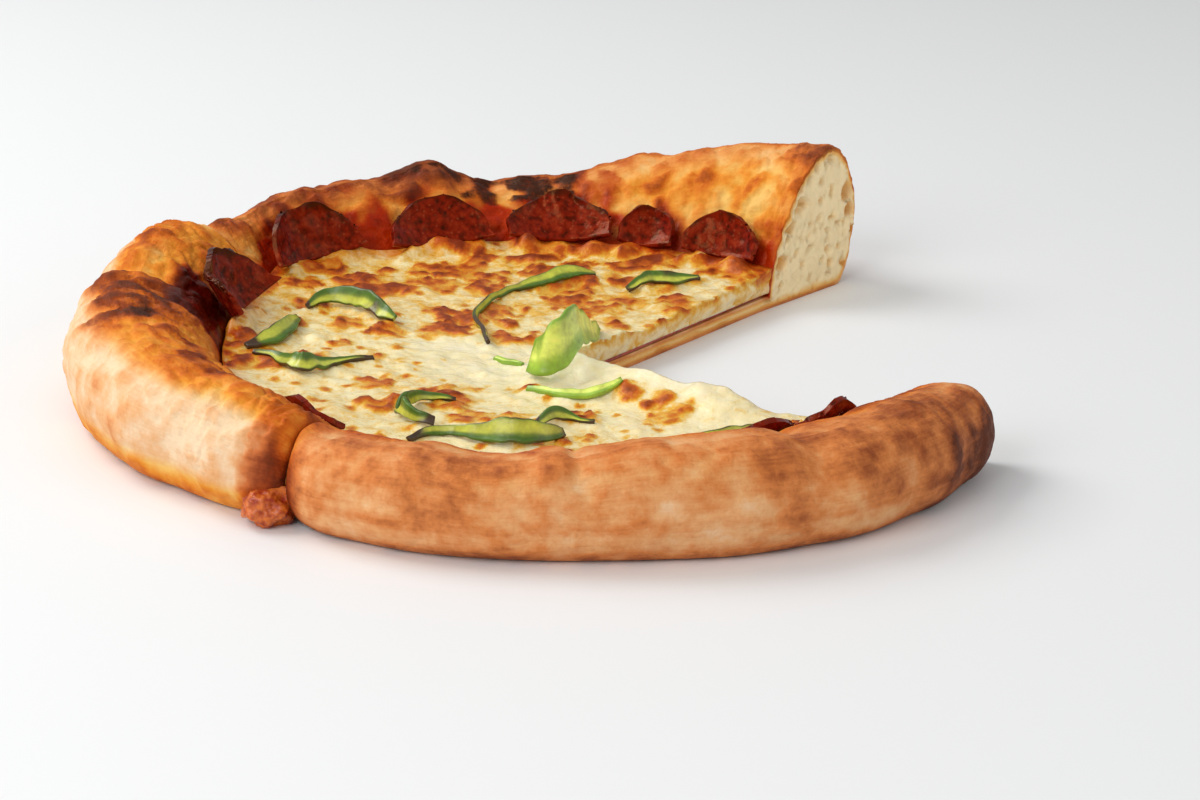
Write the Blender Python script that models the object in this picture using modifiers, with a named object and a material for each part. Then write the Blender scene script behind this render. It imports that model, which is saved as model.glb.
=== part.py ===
"""A deep-rimmed pizza, cut into large slices, with one slice gone.

Three dough slices carry a tomato layer and one sheet of melted cheese. Pepperoni leans on the rim's inner
slope, and strips of green pepper lie on the cheese. Sizes are millimetres in the functions and metres in the
meshes. Angles are degrees round the pizza's centre, from +X towards +Y.
"""

import math
import random

import bmesh
import bpy
from mathutils import Matrix, Vector, noise

MM = 0.001

# The pizza's centre, placed so that the middle of the whole part's footprint is the origin
CENTRE_X = 11.79
CENTRE_Y = -1.963

# Where the knife went: the slice between GAP_NEAR and GAP_FAR is gone
GAP_FAR = 50.0
SEAM_BACK = 152.0
SEAM_FRONT = 239.0
GAP_NEAR = 335.0
KNIFE_GAP = 0.8
# All cuts meet here, short of the centre
CUTS_MEET = Vector((0, -12, 0))
CUTS_MEET_WITHIN = 107.0
# The near cut swings away from its straight line: (radius, degrees)
NEAR_CUT_SWING = ((0, 30), (30, 27), (45, 24), (78, 18), (105, 10.5), (125, 4), (143, 0))
NEAR_CUT_SWING_FROM = 275.0
SLICES = (
    ("dough_back", GAP_FAR, SEAM_BACK),
    ("dough_left", SEAM_BACK, SEAM_FRONT),
    ("dough_front", SEAM_FRONT, GAP_NEAR),
)

# The flat base and what is spread on it
BASE_THICKNESS = 4.6
SAUCE_THICKNESS = 0.9
LAYER_GAP = 0.3
CHEESE_MIDDLE = 10.2
CHEESE_NEAR_RIM = 12.8
CHEESE_LEVEL_FROM = 95.0
CHEESE_CLIMB = 2.0
CHEESE_CLIMB_WIDTH = 5.0
WALL_GAP = 0.6
SAUCE_SHORT_OF_SLOPE = 1.5
SAUCE_SHORT_OF_CUT = 0.8

# The rim, as (angle, size) pairs: a hand-stretched rim is nowhere the same
CREST_HEIGHT = (
    (50, 53), (56, 51.5), (63, 48), (70, 44.5), (77, 41.5), (85, 36.5), (93, 32.5), (100, 31.6), (106, 35),
    (111, 39), (116, 36), (124, 35.2), (133, 35.3), (141, 32.5), (151, 31.5), (153, 35), (158, 38),
    (164, 39.5),
    (171, 37.5), (176, 34.5), (182, 36.5), (192, 37), (204, 36), (216, 35), (228, 33.5), (237, 31),
    (242, 26.5),
    (248, 27.3), (255, 28.3), (263, 26.3), (271, 29.3), (280, 32), (290, 32.2), (296, 31.6), (300, 29.6),
    (308, 30), (316, 30.2), (322, 29), (329, 27.3), (335, 25),
)
CREST_RADIUS = (
    (50, 147), (62, 148), (77, 143), (92, 138), (110, 139), (130, 138), (150, 137), (165, 137), (180, 138),
    (215, 137), (238, 136), (250, 141), (300, 141), (320, 139), (335, 135),
)
OUTER_RADIUS = (
    (50, 163), (62, 165), (77, 160), (92, 154), (100, 153), (111, 158), (124, 156), (136, 153), (145, 149.5),
    (151, 148), (160, 153), (168, 155), (176, 151.5), (184, 155), (200, 156), (215, 154.5), (228, 151),
    (239, 148.5),
    (247, 151.5), (256, 153.2), (268, 152.8), (280, 153.5), (292, 156), (304, 157), (316, 155), (326, 151.5),
    (335, 147),
)
INNER_RADIUS = (
    (50, 112), (75, 109), (92, 108), (103, 110), (120, 113), (132, 121), (141, 123), (151, 114), (165, 108),
    (180, 105), (200, 107), (220, 110), (239, 112), (335, 112),
)
INNER_FULLNESS = (
    (50, 1.7), (66, 1.45), (80, 1.35), (140, 1.4), (156, 1.6), (176, 1.8), (192, 2.0), (335, 2.0),
)
# How far the foot lies in from the widest place, and that place's share of the crest's height
FOOT_TUCK = 9.0
BULGE_SHARE = 0.46

# Where a rim end is rounded off: (angle, reach in degrees, how far the outside and the crest draw back)
RIM_ENDS = (
    (GAP_FAR, 2.5, 2.0), (SEAM_BACK, 4.0, 3.6), (SEAM_FRONT, 5.5, 6.5), (GAP_NEAR, 5.0, 5.0),
)
END_LOWERS_CREST = 0.5
END_DRAWS_CREST = 0.4
# Folds across the rim: (angle, half width in degrees, depth)
FOLDS = (
    (58, 2.5, 1.6), (73, 3.0, 1.4), (88, 2.4, 1.8), (103.5, 3.0, 3.0), (119, 2.5, 1.6), (128, 2.0, 1.2),
    (144, 2.5, 1.4), (168, 2.6, 2.2), (176, 2.4, 2.8), (186, 2.2, 1.4), (222, 2.6, 1.3), (276, 3.5, 1.0),
    (299, 2.4, 1.3), (313, 3.0, 0.9),
)
FOLD_LOWERS_CREST = 0.7
FOLD_DRAWS_OUTSIDE = 0.6
# Bumps of the baked crust: (height, span) of the broad and the small ones
BROAD_BUMPS = (1.1, 19.0)
SMALL_BUMPS = (0.6, 9.0)
# The crust is smooth below these heights: at the foot outside, and where the cheese meets it inside
SMOOTH_FOOT = 1.0
SMOOTH_SLOPE = 17.0
SMOOTH_BAND = 7.0

# How finely the solids are cut, and which edges stay sharp
MERGE = 0.02
SHARP_ABOVE = 50.0
ANGLE_STEP = 2.5
OUTER_POINTS = 4
SHOULDER_POINTS = 5
SLOPE_POINTS = 8
BASE_SHARES = (0.0, 0.38, 0.72)
END_CROWDING = 0.6
CHEESE_RINGS = (13, 25, 36, 46, 55, 63, 71, 78, 85, 91, 97, 102, 107)
CHEESE_EDGE_WIDTH = 4.0
CHEESE_STEP = 3.0
SAUCE_STEP = 6.0

# The cheese's browned blisters, from smallest to largest
BLISTER_COUNT = 120
BLISTER_RADIUS = (3.0, 7.5)
BLISTER_RISE = (0.4, 1.2)
BLISTERS_WITHIN = 108.0
# Waves of the cheese between them: (height, span)
BROAD_WAVES = (0.8, 15.0)
SMALL_WAVES = (0.45, 7.0)
LEVEL_EDGE = 1.0
LEVEL_EDGE_WIDTH = 8.0
# Soft white mounds along the cut, where the missing slice drew the cheese up: (x, y, radius, rise)
MOUNDS = (
    (4, -16, 13, 3.5), (17, -22, 13, 6.0), (28, -36, 13, 6.5), (42, -46, 12, 5.5), (53, -57, 11, 4.5),
    (16, 12, 12, 3.0),
)
# How far the soft cheese has run out over the cut faces
CHEESE_OVERHANG = 2.2
OVERHANG_SPAN = 13.0
OVERHANG_HEIGHTS = (6.0, 14.0)
OVERHANG_REACH = (0.0, 12.0, 98.0, 112.0)

# Pepperoni on the rim's slope: (name, angle, disc radius, how far up the slope its middle lies, curl, lean)
PEPPERONI_THICKNESS = 1.9
PEPPERONI_CLEARANCE = 0.7
PEPPERONI_TOE = 0.9
PEPPERONI_TOP = 0.16
PEPPERONI_TIP_CURL = 0.35
PEPPERONI_RIPPLE = 0.5
PEPPERONI_LEANS_AT = 0.12
PEPPERONI_ACROSS = 9
PEPPERONI_UP = 5
HALVINGS = 30
PEPPERONI = (
    ("pepperoni_back_1", 136.0, 21.5, -5.0, 5.0, 0.12),
    ("pepperoni_back_2", 113.0, 21.0, -6.0, 4.5, -0.05),
    ("pepperoni_back_3", 91.2, 19.5, -4.0, 4.5, 0.06),
    ("pepperoni_back_4", 75.2, 10.5, 1.0, 3.5, -0.05),
    ("pepperoni_back_5", 60.5, 16.0, -3.5, 3.5, 0.05),
    ("pepperoni_left_1", 169.0, 22.0, -4.0, 8.5, 0.10),
    ("pepperoni_left_2", 229.5, 15.0, -8.5, 2.6, 0.05),
    ("pepperoni_front_1", 301.0, 14.0, -5.0, 2.6, 0.10),
    ("pepperoni_front_2", 316.0, 12.5, -4.5, 2.6, -0.10),
)

# Strips of pepper on the cheese: each point is (x, y, lift above the cheese, half width, tilt in degrees). A
# tilt of 0 lies flat and 90 stands on edge
PEPPER_THICKNESS = 1.4
PEPPER_CLEARANCE = 0.7
PEPPER_CUP = 0.18
RUN_SAMPLE = 0.02
PEPPER_FEET = ((0, 0), (1, 0), (-1, 0), (0, 1), (0, -1))
PEPPER_POINTS_PER_SPAN = 2
PEPPER_EXTRA_POINTS = 4
PEPPERS = {
    "pepper_left_upper": (
        (-84, 32, 0.3, 1.0, 40), (-81, 37, 0.5, 2.2, 50), (-76, 38, 0.8, 2.8, 55), (-70, 36, 0.8, 3.2, 58),
        (-65, 32, 0.8, 3.2, 58), (-60, 25, 0.5, 3.0, 50), (-54, 20, 0.3, 1.4, 30),
    ),
    "pepper_left_branch": (
        (-99, -11, 0.3, 1.2, 20), (-94, -7, 0.5, 2.4, 35), (-90, -2, 0.5, 3.2, 30), (-87, 7, 0.5, 2.8, 35),
        (-86, 20, 0.3, 1.4, 40),
    ),
    "pepper_left_lower": (
        (-96, -17, 0.3, 0.9, 30), (-90, -19, 0.3, 1.4, 30), (-85, -26, 0.4, 2.2, 40),
        (-79, -33, 0.5, 3.2, 45),
        (-74, -29, 0.5, 2.8, 35), (-69, -23, 0.3, 1.4, 30), (-64, -19, 0.3, 1.0, 30),
        (-58, -16, 0.2, 0.8, 30),
    ),
    "pepper_middle": (
        (-23, 4, 0.3, 0.8, 60), (-25, 16, 0.3, 1.0, 60), (-28, 28, 0.3, 1.1, 60), (-26, 40, 0.3, 1.2, 60),
        (-22, 50, 0.3, 1.2, 60), (-15, 60, 0.3, 1.3, 40), (-8, 66, 0.5, 2.4, 30), (-2, 70, 0.6, 2.6, 35),
        (4, 74, 0.5, 2.2, 40), (11, 76, 0.2, 0.9, 30),
    ),
    "pepper_front_curl": (
        (-30, -54, 0.2, 0.8, -40), (-36, -54, 0.3, 1.2, -60), (-41, -57, 0.5, 1.8, -70),
        (-44, -64, 0.6, 2.6, -80),
        (-45, -71, 0.6, 2.8, 80), (-41, -77, 0.5, 2.0, 75), (-35, -79, 0.3, 1.5, 60),
    ),
    "pepper_front_long": (
        (-42, -92, 0.2, 0.8, 40), (-37, -86, 0.3, 1.3, 50), (-30, -85, 0.4, 1.5, 60),
        (-23, -89, 0.5, 2.4, 60),
        (-16, -92, 0.6, 3.6, 55), (-8, -93, 0.6, 3.8, 55), (-1, -90, 0.5, 2.8, 60), (3, -84, 0.3, 1.4, 60),
    ),
    "pepper_front_knob": (
        (-5, -76, 0.3, 1.2, 60), (0, -72, 0.4, 2.0, 60), (4, -71, 0.4, 1.6, 50), (8, -72, 0.2, 0.8, 40),
        (12, -73, 0.2, 0.7, 40),
    ),
    "pepper_centre_leaf": (
        (-8, -29, 0.3, 5.5, 70), (-4, -34, 0.3, 7.6, 75), (0, -33, 0.3, 8.0, 78), (4, -27, 0.3, 7.6, 78),
        (7, -17, 0.3, 6.2, 75), (10, -3, 0.3, 4.4, 70), (12, 13, 0.3, 1.8, 60),
    ),
    "pepper_centre_stem": (
        (-20, -9, 0.2, 1.1, 10), (-17, -12, 0.3, 1.0, 10), (-14, -15, 0.3, 1.0, 10), (-11, -18, 0.2, 0.9, 10),
    ),
    "pepper_centre_strip": (
        (-9, -41, 0.2, 0.9, 30), (-3, -44, 0.3, 1.3, 30), (3, -47, 0.4, 1.6, 25), (9, -48, 0.4, 1.9, 25),
        (14, -47, 0.4, 1.8, 30), (20, -43, 0.2, 0.9, 30),
    ),
    "pepper_far": (
        (22, 62, 0.3, 1.2, 30), (30, 69, 0.5, 2.2, 45), (38, 70, 0.5, 2.4, 40), (47, 75, 0.2, 1.0, 20),
    ),
    "pepper_gap_edge": (
        (40, -89, 0.2, 1.2, 30), (49, -87, 0.5, 2.2, 45), (58, -82, 0.4, 2.0, 40), (66, -76, 0.2, 1.0, 25),
    ),
}

# The lump of tomato and cheese squeezed out of the front seam: (along the rim, outwards, up)
SPILL_ANGLE = 237.0
SPILL_RADIUS = 144.0
SPILL_SIZE = (8.0, 8.5, 6.5)
SPILL_MIDDLE = 5.2
SPILL_LUMPS = 0.28
SPILL_GAP = 1.7


def smooth(t):
    """0 to 1 with a soft start and end."""
    t = min(1.0, max(0.0, t))
    return t * t * (3 - 2 * t)


def along(table, angle):
    """The size that a table of (angle, size) pairs gives at an angle, eased between the pairs."""
    angle = min(max(angle, table[0][0]), table[-1][0])
    for (a, first), (b, last) in zip(table, table[1:]):
        if angle <= b:
            return first + (last - first) * (0.5 - 0.5 * math.cos(math.pi * (angle - a) / (b - a)))
    return table[-1][1]


def drawn_back(angle):
    """How far the rim draws back at this angle, because a slice ends near it."""
    most = 0.0
    for where, reach, depth in RIM_ENDS:
        near = 1 - abs(angle - where) / reach
        if near > 0:
            most = max(most, depth * (1 - math.sqrt(max(0.0, 1 - near * near))))
    return most


def fold_depth(angle):
    return sum(depth * math.exp(-(((angle - where) / width) ** 2)) for where, width, depth in FOLDS)


class Rim:
    """The rim's sizes at one angle."""

    def __init__(self, angle):
        back = drawn_back(angle)
        fold = fold_depth(angle)
        self.height = along(CREST_HEIGHT, angle) - END_LOWERS_CREST * back - FOLD_LOWERS_CREST * fold
        self.crest = along(CREST_RADIUS, angle) - END_DRAWS_CREST * back
        self.outer = along(OUTER_RADIUS, angle) - back - FOLD_DRAWS_OUTSIDE * fold
        self.inner = along(INNER_RADIUS, angle)
        self.full = along(INNER_FULLNESS, angle)
        self.foot = self.outer - FOOT_TUCK
        self.bulge = BULGE_SHARE * self.height

    def slope_point(self, share):
        """(radius, height) on the inner slope, from the crest at 0 to the base at 1."""
        turn = share * math.pi / 2
        across = math.sin(turn) ** (2 / self.full)
        down = math.cos(turn) ** (2 / self.full)
        radius = self.crest - (self.crest - self.inner) * across
        return radius, BASE_THICKNESS + (self.height - BASE_THICKNESS) * down

    def wall_radius(self, height):
        """The inner slope's radius at a height."""
        up = min(1.0, max(0.0, (height - BASE_THICKNESS) / (self.height - BASE_THICKNESS)))
        return self.crest - (self.crest - self.inner) * (1 - up**self.full) ** (1 / self.full)


def relief(point):
    """Bumps of the baked crust, outwards."""
    height = 0
    for layer, (rise, span) in enumerate((BROAD_BUMPS, SMALL_BUMPS)):
        height += rise * noise.noise(point / span + Vector((7, 3, 1)) * layer)
    return height


def along_cut(angle, radius):
    """The angle that a point moves to, because the near cut is not straight."""
    share = smooth((angle - NEAR_CUT_SWING_FROM) / (GAP_NEAR - NEAR_CUT_SWING_FROM))
    return angle - share * along(NEAR_CUT_SWING, radius)


def towards_meeting(point):
    """The point moved so that all cuts meet at CUTS_MEET and stay straight."""
    radius = math.hypot(point.x, point.y)
    return point + CUTS_MEET * max(0.0, 1 - radius / CUTS_MEET_WITHIN)


def polar(angle, radius, height):
    turn = math.radians(angle)
    return Vector((radius * math.cos(turn), radius * math.sin(turn), height))


def rim_surface(angle, part, share):
    """A point of the rim's skin. part is foot, shoulder or slope, and share runs along it inwards."""
    rim = Rim(angle)
    turn = share * math.pi / 2
    if part == "slope":
        angle = along_cut(angle, rim.slope_point(share)[0])
        rim = Rim(angle)
    if part == "foot":
        radius = rim.foot + (rim.outer - rim.foot) * math.sin(turn)
        height = rim.bulge * (1 - math.cos(turn))
    elif part == "shoulder":
        radius = rim.crest + (rim.outer - rim.crest) * math.cos(turn)
        height = rim.bulge + (rim.height - rim.bulge) * math.sin(turn)
    else:
        radius, height = rim.slope_point(share)
    base = polar(angle, radius, height)
    heart = polar(angle, (rim.crest + rim.inner + rim.outer) / 3, rim.bulge)
    smooth_below = SMOOTH_SLOPE if part == "slope" else SMOOTH_FOOT
    keep = smooth((height - smooth_below) / SMOOTH_BAND)
    return base + (base - heart).normalized() * relief(base) * keep


def section_stations():
    """The rim's section as (part, share) stations, from the foot over the crest to the base."""
    stations = [("foot", i / OUTER_POINTS) for i in range(OUTER_POINTS)]
    stations += [("shoulder", i / SHOULDER_POINTS) for i in range(SHOULDER_POINTS)]
    stations += [("slope", i / SLOPE_POINTS) for i in range(SLOPE_POINTS + 1)]
    return stations


def spun_solid(name, start, end, step, stations, place, crowding=0.0):
    """A closed section spun from one cut face to the other, then shaped by place(angle, station).

    With crowding, the steps are short near the two cut faces and long between them.
    """
    shape = bmesh.new()
    mark = shape.verts.layers.int.new("station")
    outline = []
    for number in range(len(stations)):
        turn = -2 * math.pi * number / len(stations)
        corner = shape.verts.new((2 + math.cos(turn), 0, math.sin(turn)))
        corner[mark] = number
        outline.append(corner)
    face = shape.faces.new(outline)
    steps = round((end - start) / step)
    span = end - start
    bmesh.ops.spin(
        shape, geom=[face, *face.edges, *outline], cent=(0, 0, 0), axis=(0, 0, 1),
        angle=math.radians(end - start), steps=steps,
    )
    half_step = (end - start) / steps / 2
    for corner in shape.verts:
        turned = (math.degrees(math.atan2(corner.co.y, corner.co.x)) + half_step) % 360 - half_step
        turned -= crowding * span * math.sin(2 * math.pi * turned / span) / (2 * math.pi)
        corner.co = place(start + turned, stations[corner[mark]]) * MM
    bmesh.ops.remove_doubles(shape, verts=shape.verts[:], dist=MERGE * MM)
    bmesh.ops.triangulate(shape, faces=shape.faces[:])
    bmesh.ops.recalc_face_normals(shape, faces=shape.faces[:])
    return finished(name, shape)


def finished(name, shape):
    """The bmesh as a named object in the pizza's collection, shaded smooth."""
    mesh = bpy.data.meshes.new(name)
    shape.to_mesh(mesh)
    shape.free()
    mesh.shade_smooth()
    mesh.set_sharp_from_angle(angle=math.radians(SHARP_ABOVE))
    piece = bpy.data.objects.new(name, mesh)
    pizza.objects.link(piece)
    piece.parent = middle_of_pizza
    return piece


def dough_slice(name, start, end):
    """Base and rim of one slice, drawn off its neighbours by half the knife's gap."""
    underside = [("underside", share) for share in BASE_SHARES]
    upperside = [("upperside", share) for share in reversed(BASE_SHARES)]
    stations = [*underside, *section_stations(), *upperside]
    between = math.radians(end - start) / 2
    away = polar((start + end) / 2, KNIFE_GAP / 2 / math.sin(between), 0)

    def place(angle, station):
        part, share = station
        if part not in ("underside", "upperside"):
            return away + rim_surface(angle, part, share)
        turned = along_cut(angle, share * Rim(angle).inner)
        height = BASE_THICKNESS if part == "upperside" else 0
        return away + towards_meeting(polar(turned, share * Rim(turned).inner, height))

    return spun_solid(name, start, end, ANGLE_STEP, stations, place, END_CROWDING)


def sauce_layer():
    low = BASE_THICKNESS + LAYER_GAP
    shares = (*BASE_SHARES, 1.0)
    stations = [(share, low) for share in shares]
    stations += [(share, low + SAUCE_THICKNESS) for share in reversed(shares)]

    def place(angle, station):
        share, height = station
        turned = along_cut(angle, share * Rim(angle).inner)
        reach = Rim(turned).inner - SAUCE_SHORT_OF_SLOPE
        return towards_meeting(polar(turned, share * reach, height))

    start, end = GAP_FAR + SAUCE_SHORT_OF_CUT, GAP_NEAR - SAUCE_SHORT_OF_CUT
    return spun_solid("tomato_sauce", start, end, SAUCE_STEP, stations, place)


def scattered_blisters():
    """(x, y, radius, rise) of each browned blister, spread over the cheese by a seeded draw."""
    draw = random.Random(7)
    found = []
    while len(found) < BLISTER_COUNT:
        x = draw.uniform(-BLISTERS_WITHIN, BLISTERS_WITHIN)
        y = draw.uniform(-BLISTERS_WITHIN, BLISTERS_WITHIN)
        radius = draw.uniform(*BLISTER_RADIUS)
        if math.hypot(x, y) < BLISTERS_WITHIN:
            found.append((x, y, radius, draw.uniform(*BLISTER_RISE)))
    return found


def mounds_rise(x, y):
    return sum(
        rise * math.exp(-((x - mx) ** 2 + (y - my) ** 2) / (size * size)) for mx, my, size, rise in MOUNDS
    )


def cheese_height(x, y):
    """The height of the cheese's top, in millimetres."""
    radius = math.hypot(x, y)
    angle = math.degrees(math.atan2(y, x)) % 360
    edge = Rim(angle).wall_radius(CHEESE_NEAR_RIM) - radius
    height = CHEESE_MIDDLE + (CHEESE_NEAR_RIM - CHEESE_MIDDLE) * smooth(radius / CHEESE_LEVEL_FROM)
    height += CHEESE_CLIMB * math.exp(-max(0.0, edge) / CHEESE_CLIMB_WIDTH)
    inside = smooth((edge - LEVEL_EDGE) / LEVEL_EDGE_WIDTH)
    for layer, (rise, span) in enumerate((BROAD_WAVES, SMALL_WAVES)):
        height += inside * rise * noise.noise(Vector((x / span, y / span, 4 * layer)))
    for bx, by, size, rise in blisters:
        away = math.hypot(x - bx, y - by) / size
        if away < 1:
            height += inside * rise * (1 - away * away) ** 2
    return height + mounds_rise(x, y)


def cheese_sheet():
    low = BASE_THICKNESS + SAUCE_THICKNESS + 2 * LAYER_GAP
    below = [("below", share) for share in BASE_SHARES]
    above = [("above", ring / CHEESE_RINGS[-1]) for ring in reversed(CHEESE_RINGS)]
    stations = [*below, *[("edge", number / 2) for number in range(3)], *above, ("above", 0.0)]

    def place(angle, station):
        part, share = station
        top = CHEESE_NEAR_RIM + CHEESE_CLIMB
        if part == "edge":
            height = low + (top - low) * share
            turned = along_cut(angle, Rim(angle).wall_radius(height))
            point = polar(turned, Rim(turned).wall_radius(height) - WALL_GAP, height)
        elif part == "below":
            turned = along_cut(angle, share * Rim(angle).inner)
            point = towards_meeting(polar(turned, share * Rim(turned).inner, low))
        else:
            turned = along_cut(angle, share * Rim(angle).inner)
            radius = share * (Rim(turned).wall_radius(top) - WALL_GAP - CHEESE_EDGE_WIDTH)
            point = towards_meeting(polar(turned, radius, 0))
            point.z = cheese_height(point.x, point.y)
        return point + overhang(angle, point)

    return spun_solid("melted_cheese", GAP_FAR, GAP_NEAR, CHEESE_STEP, stations, place)


def overhang(angle, point):
    """At a cut face, how far the soft cheese has run out over the gap."""
    for cut, towards in ((GAP_FAR, -1), (GAP_NEAR, 1)):
        if abs(angle - cut) < 1e-3:
            out = math.hypot(point.x, point.y)
            low, high = OVERHANG_HEIGHTS
            begins, full, fades, ends = OVERHANG_REACH
            wave = max(0.0, 0.5 + noise.noise(Vector((out / OVERHANG_SPAN, cut, 2))))
            swell = math.sin(math.pi * smooth((point.z - low) / (high - low)))
            swell *= smooth((out - begins) / (full - begins)) * smooth((ends - out) / (ends - fades))
            return polar(cut + 90 * towards, CHEESE_OVERHANG * wave * swell, 0)
    return Vector((0, 0, 0))


def slope_at(angle, height):
    """The share along the rim's slope that lies at a height."""
    low, high = 0.0, 1.0
    rim = Rim(angle)
    for _ in range(HALVINGS):
        share = (low + high) / 2
        if rim.slope_point(share)[1] > height:
            low = share
        else:
            high = share
    return low


def pepperoni_slice(name, angle, disc, middle, curl, lean):
    """A round slice that leans on the rim's slope, cut off where the cheese covers it."""
    rim = Rim(angle)
    toe = Vector(rim.slope_point(slope_at(angle, CHEESE_NEAR_RIM + CHEESE_CLIMB + PEPPERONI_TOE)))
    up = (Vector(rim.slope_point(PEPPERONI_LEANS_AT)) - toe).normalized()
    inward = Vector((-up.y, up.x))
    tall = disc + middle
    shape = bmesh.new()
    bmesh.ops.create_grid(shape, x_segments=PEPPERONI_ACROSS, y_segments=PEPPERONI_UP, size=1)
    for corner in shape.verts:
        across, rise = corner.co.x, (corner.co.y + 1) / 2
        above = tall * rise
        half = math.sqrt(max(0.0, disc * disc - (above - middle) ** 2))
        half = max(half, PEPPERONI_TOP * disc)
        side = across * half + lean * above
        bow = curl * (side / disc) ** 2 + PEPPERONI_TIP_CURL * curl * rise**3
        ripple = PEPPERONI_RIPPLE * rise * math.sin(5 * side / disc + angle)
        away = PEPPERONI_CLEARANCE + PEPPERONI_THICKNESS + bow + ripple
        away += stand_off(angle, toe, up, above, side)
        spot = toe + up * above + inward * away
        corner.co = polar(angle + math.degrees(side / spot.x), spot.x, spot.y) * MM
    return thickened(name, shape, PEPPERONI_THICKNESS)


def stand_off(angle, toe, up, above, side):
    """How far a straight slice must stand off, so that it clears the bulge of the slope behind it."""
    line = toe + up * above
    rim = Rim(angle + math.degrees(side / line.x))
    bumps = BROAD_BUMPS[0] * smooth((line.y - SMOOTH_SLOPE) / SMOOTH_BAND)
    wall = rim.wall_radius(min(line.y, rim.height - 0.5)) - bumps
    return max(0.0, (line.x - wall) * abs(up.y))


def thickened(name, shape, thickness):
    """A sheet of faces as an object of even thickness, half of it to each side."""
    bmesh.ops.recalc_face_normals(shape, faces=shape.faces[:])
    piece = finished(name, shape)
    thick = piece.modifiers.new("thickness", "SOLIDIFY")
    thick.thickness = thickness * MM
    thick.offset = 0
    return piece


def ribbon_point(points, share):
    """A point of the smooth curve through a strip's points, with its lift, half width and tilt."""
    spot = share * (len(points) - 1)
    first = min(int(spot), len(points) - 2)
    t = spot - first
    near = [points[min(max(first + k, 0), len(points) - 1)] for k in (-1, 0, 1, 2)]
    weights = (
        0.5 * (-t + 2 * t * t - t**3), 0.5 * (2 - 5 * t * t + 3 * t**3),
        0.5 * (t + 4 * t * t - 3 * t**3), 0.5 * (-t * t + t**3),
    )
    return [sum(w * p[k] for w, p in zip(weights, near)) for k in range(5)]


def pepper_strip(name, points):
    """A strip of pepper skin, twisted as its tilts say and laid on the cheese."""
    length = PEPPER_POINTS_PER_SPAN * (len(points) - 1) + PEPPER_EXTRA_POINTS
    shape = bmesh.new()
    bmesh.ops.create_grid(shape, x_segments=length, y_segments=2, size=1)
    for corner in shape.verts:
        share, across = (corner.co.x + 1) / 2, corner.co.y
        x, y, lift, half, tilt = ribbon_point(points, share)
        ahead = ribbon_point(points, min(1.0, share + RUN_SAMPLE))
        behind = ribbon_point(points, max(0.0, share - RUN_SAMPLE))
        run = Vector((ahead[0] - behind[0], ahead[1] - behind[1], 0)).normalized()
        turn = math.radians(tilt)
        lean = math.copysign(math.cos(turn), tilt)
        side = Vector((-run.y, run.x, 0)) * lean + Vector((0, 0, 1)) * abs(math.sin(turn))
        under = max(cheese_height(x + dx * half, y + dy * half) for dx, dy in PEPPER_FEET)
        low = under + PEPPER_CLEARANCE + PEPPER_THICKNESS / 2 + lift + half * abs(math.sin(turn))
        low += PEPPER_CUP * half * across * across
        corner.co = (Vector((x, y, low)) + side * half * across) * MM
    return thickened(name, shape, PEPPER_THICKNESS)


def skin_radius(angle, height):
    """The radius of the rim's outer skin at a height below its widest place, bumps left out."""
    rim = Rim(angle)
    turn = math.acos(max(0.0, 1 - height / rim.bulge))
    return rim.foot + (rim.outer - rim.foot) * math.sin(turn)


def seam_spill():
    """The lump that the knife squeezed out at the foot of the front seam, shaped to the crust behind it."""
    shape = bmesh.new()
    bmesh.ops.create_icosphere(shape, subdivisions=3, radius=1)
    middle = polar(SPILL_ANGLE, SPILL_RADIUS, SPILL_MIDDLE)
    turn = Matrix.Rotation(math.radians(SPILL_ANGLE + 90), 3, "Z")
    for corner in shape.verts:
        ball = corner.co.normalized()
        swell = 1 + SPILL_LUMPS * noise.noise(ball * 1.7 + Vector((2, 5, 1)))
        point = middle + turn @ Vector([b * size * swell for b, size in zip(ball, SPILL_SIZE)])
        point.z = max(0.0, point.z)
        angle = math.degrees(math.atan2(point.y, point.x)) % 360
        radius = max(math.hypot(point.x, point.y), skin_radius(angle, point.z) + SPILL_GAP)
        corner.co = polar(angle, radius, point.z) * MM
    return finished("seam_spill", shape)


def coloured(piece, name, colour, roughness):
    material = bpy.data.materials.get(name) or bpy.data.materials.new(name)
    material.use_nodes = True
    shader = material.node_tree.nodes["Principled BSDF"]
    shader.inputs["Base Color"].default_value = (*colour, 1)
    shader.inputs["Roughness"].default_value = roughness
    shader.inputs["Metallic"].default_value = 0
    piece.data.materials.append(material)


def start_collection():
    for obj in list(bpy.data.objects):
        bpy.data.objects.remove(obj)
    collection = bpy.data.collections.new("pizza")
    bpy.context.scene.collection.children.link(collection)
    return collection


def centre_empty():
    """All pieces hang on this empty, which stands at the pizza's centre."""
    empty = bpy.data.objects.new("pizza_centre", None)
    empty.location = (CENTRE_X * MM, CENTRE_Y * MM, 0)
    pizza.objects.link(empty)
    return empty


pizza = start_collection()
middle_of_pizza = centre_empty()
blisters = scattered_blisters()

for slice_name, slice_start, slice_end in SLICES:
    coloured(dough_slice(slice_name, slice_start, slice_end), "baked_crust", (0.55, 0.27, 0.10), 0.6)
coloured(sauce_layer(), "tomato", (0.42, 0.07, 0.02), 0.4)
coloured(cheese_sheet(), "browned_cheese", (0.86, 0.74, 0.42), 0.4)
for pepperoni in PEPPERONI:
    coloured(pepperoni_slice(*pepperoni), "pepperoni", (0.26, 0.05, 0.03), 0.35)
for pepper_name, pepper_points in PEPPERS.items():
    coloured(pepper_strip(pepper_name, pepper_points), "green_pepper", (0.20, 0.34, 0.06), 0.35)
coloured(seam_spill(), "tomato_and_cheese", (0.55, 0.16, 0.04), 0.4)
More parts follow.
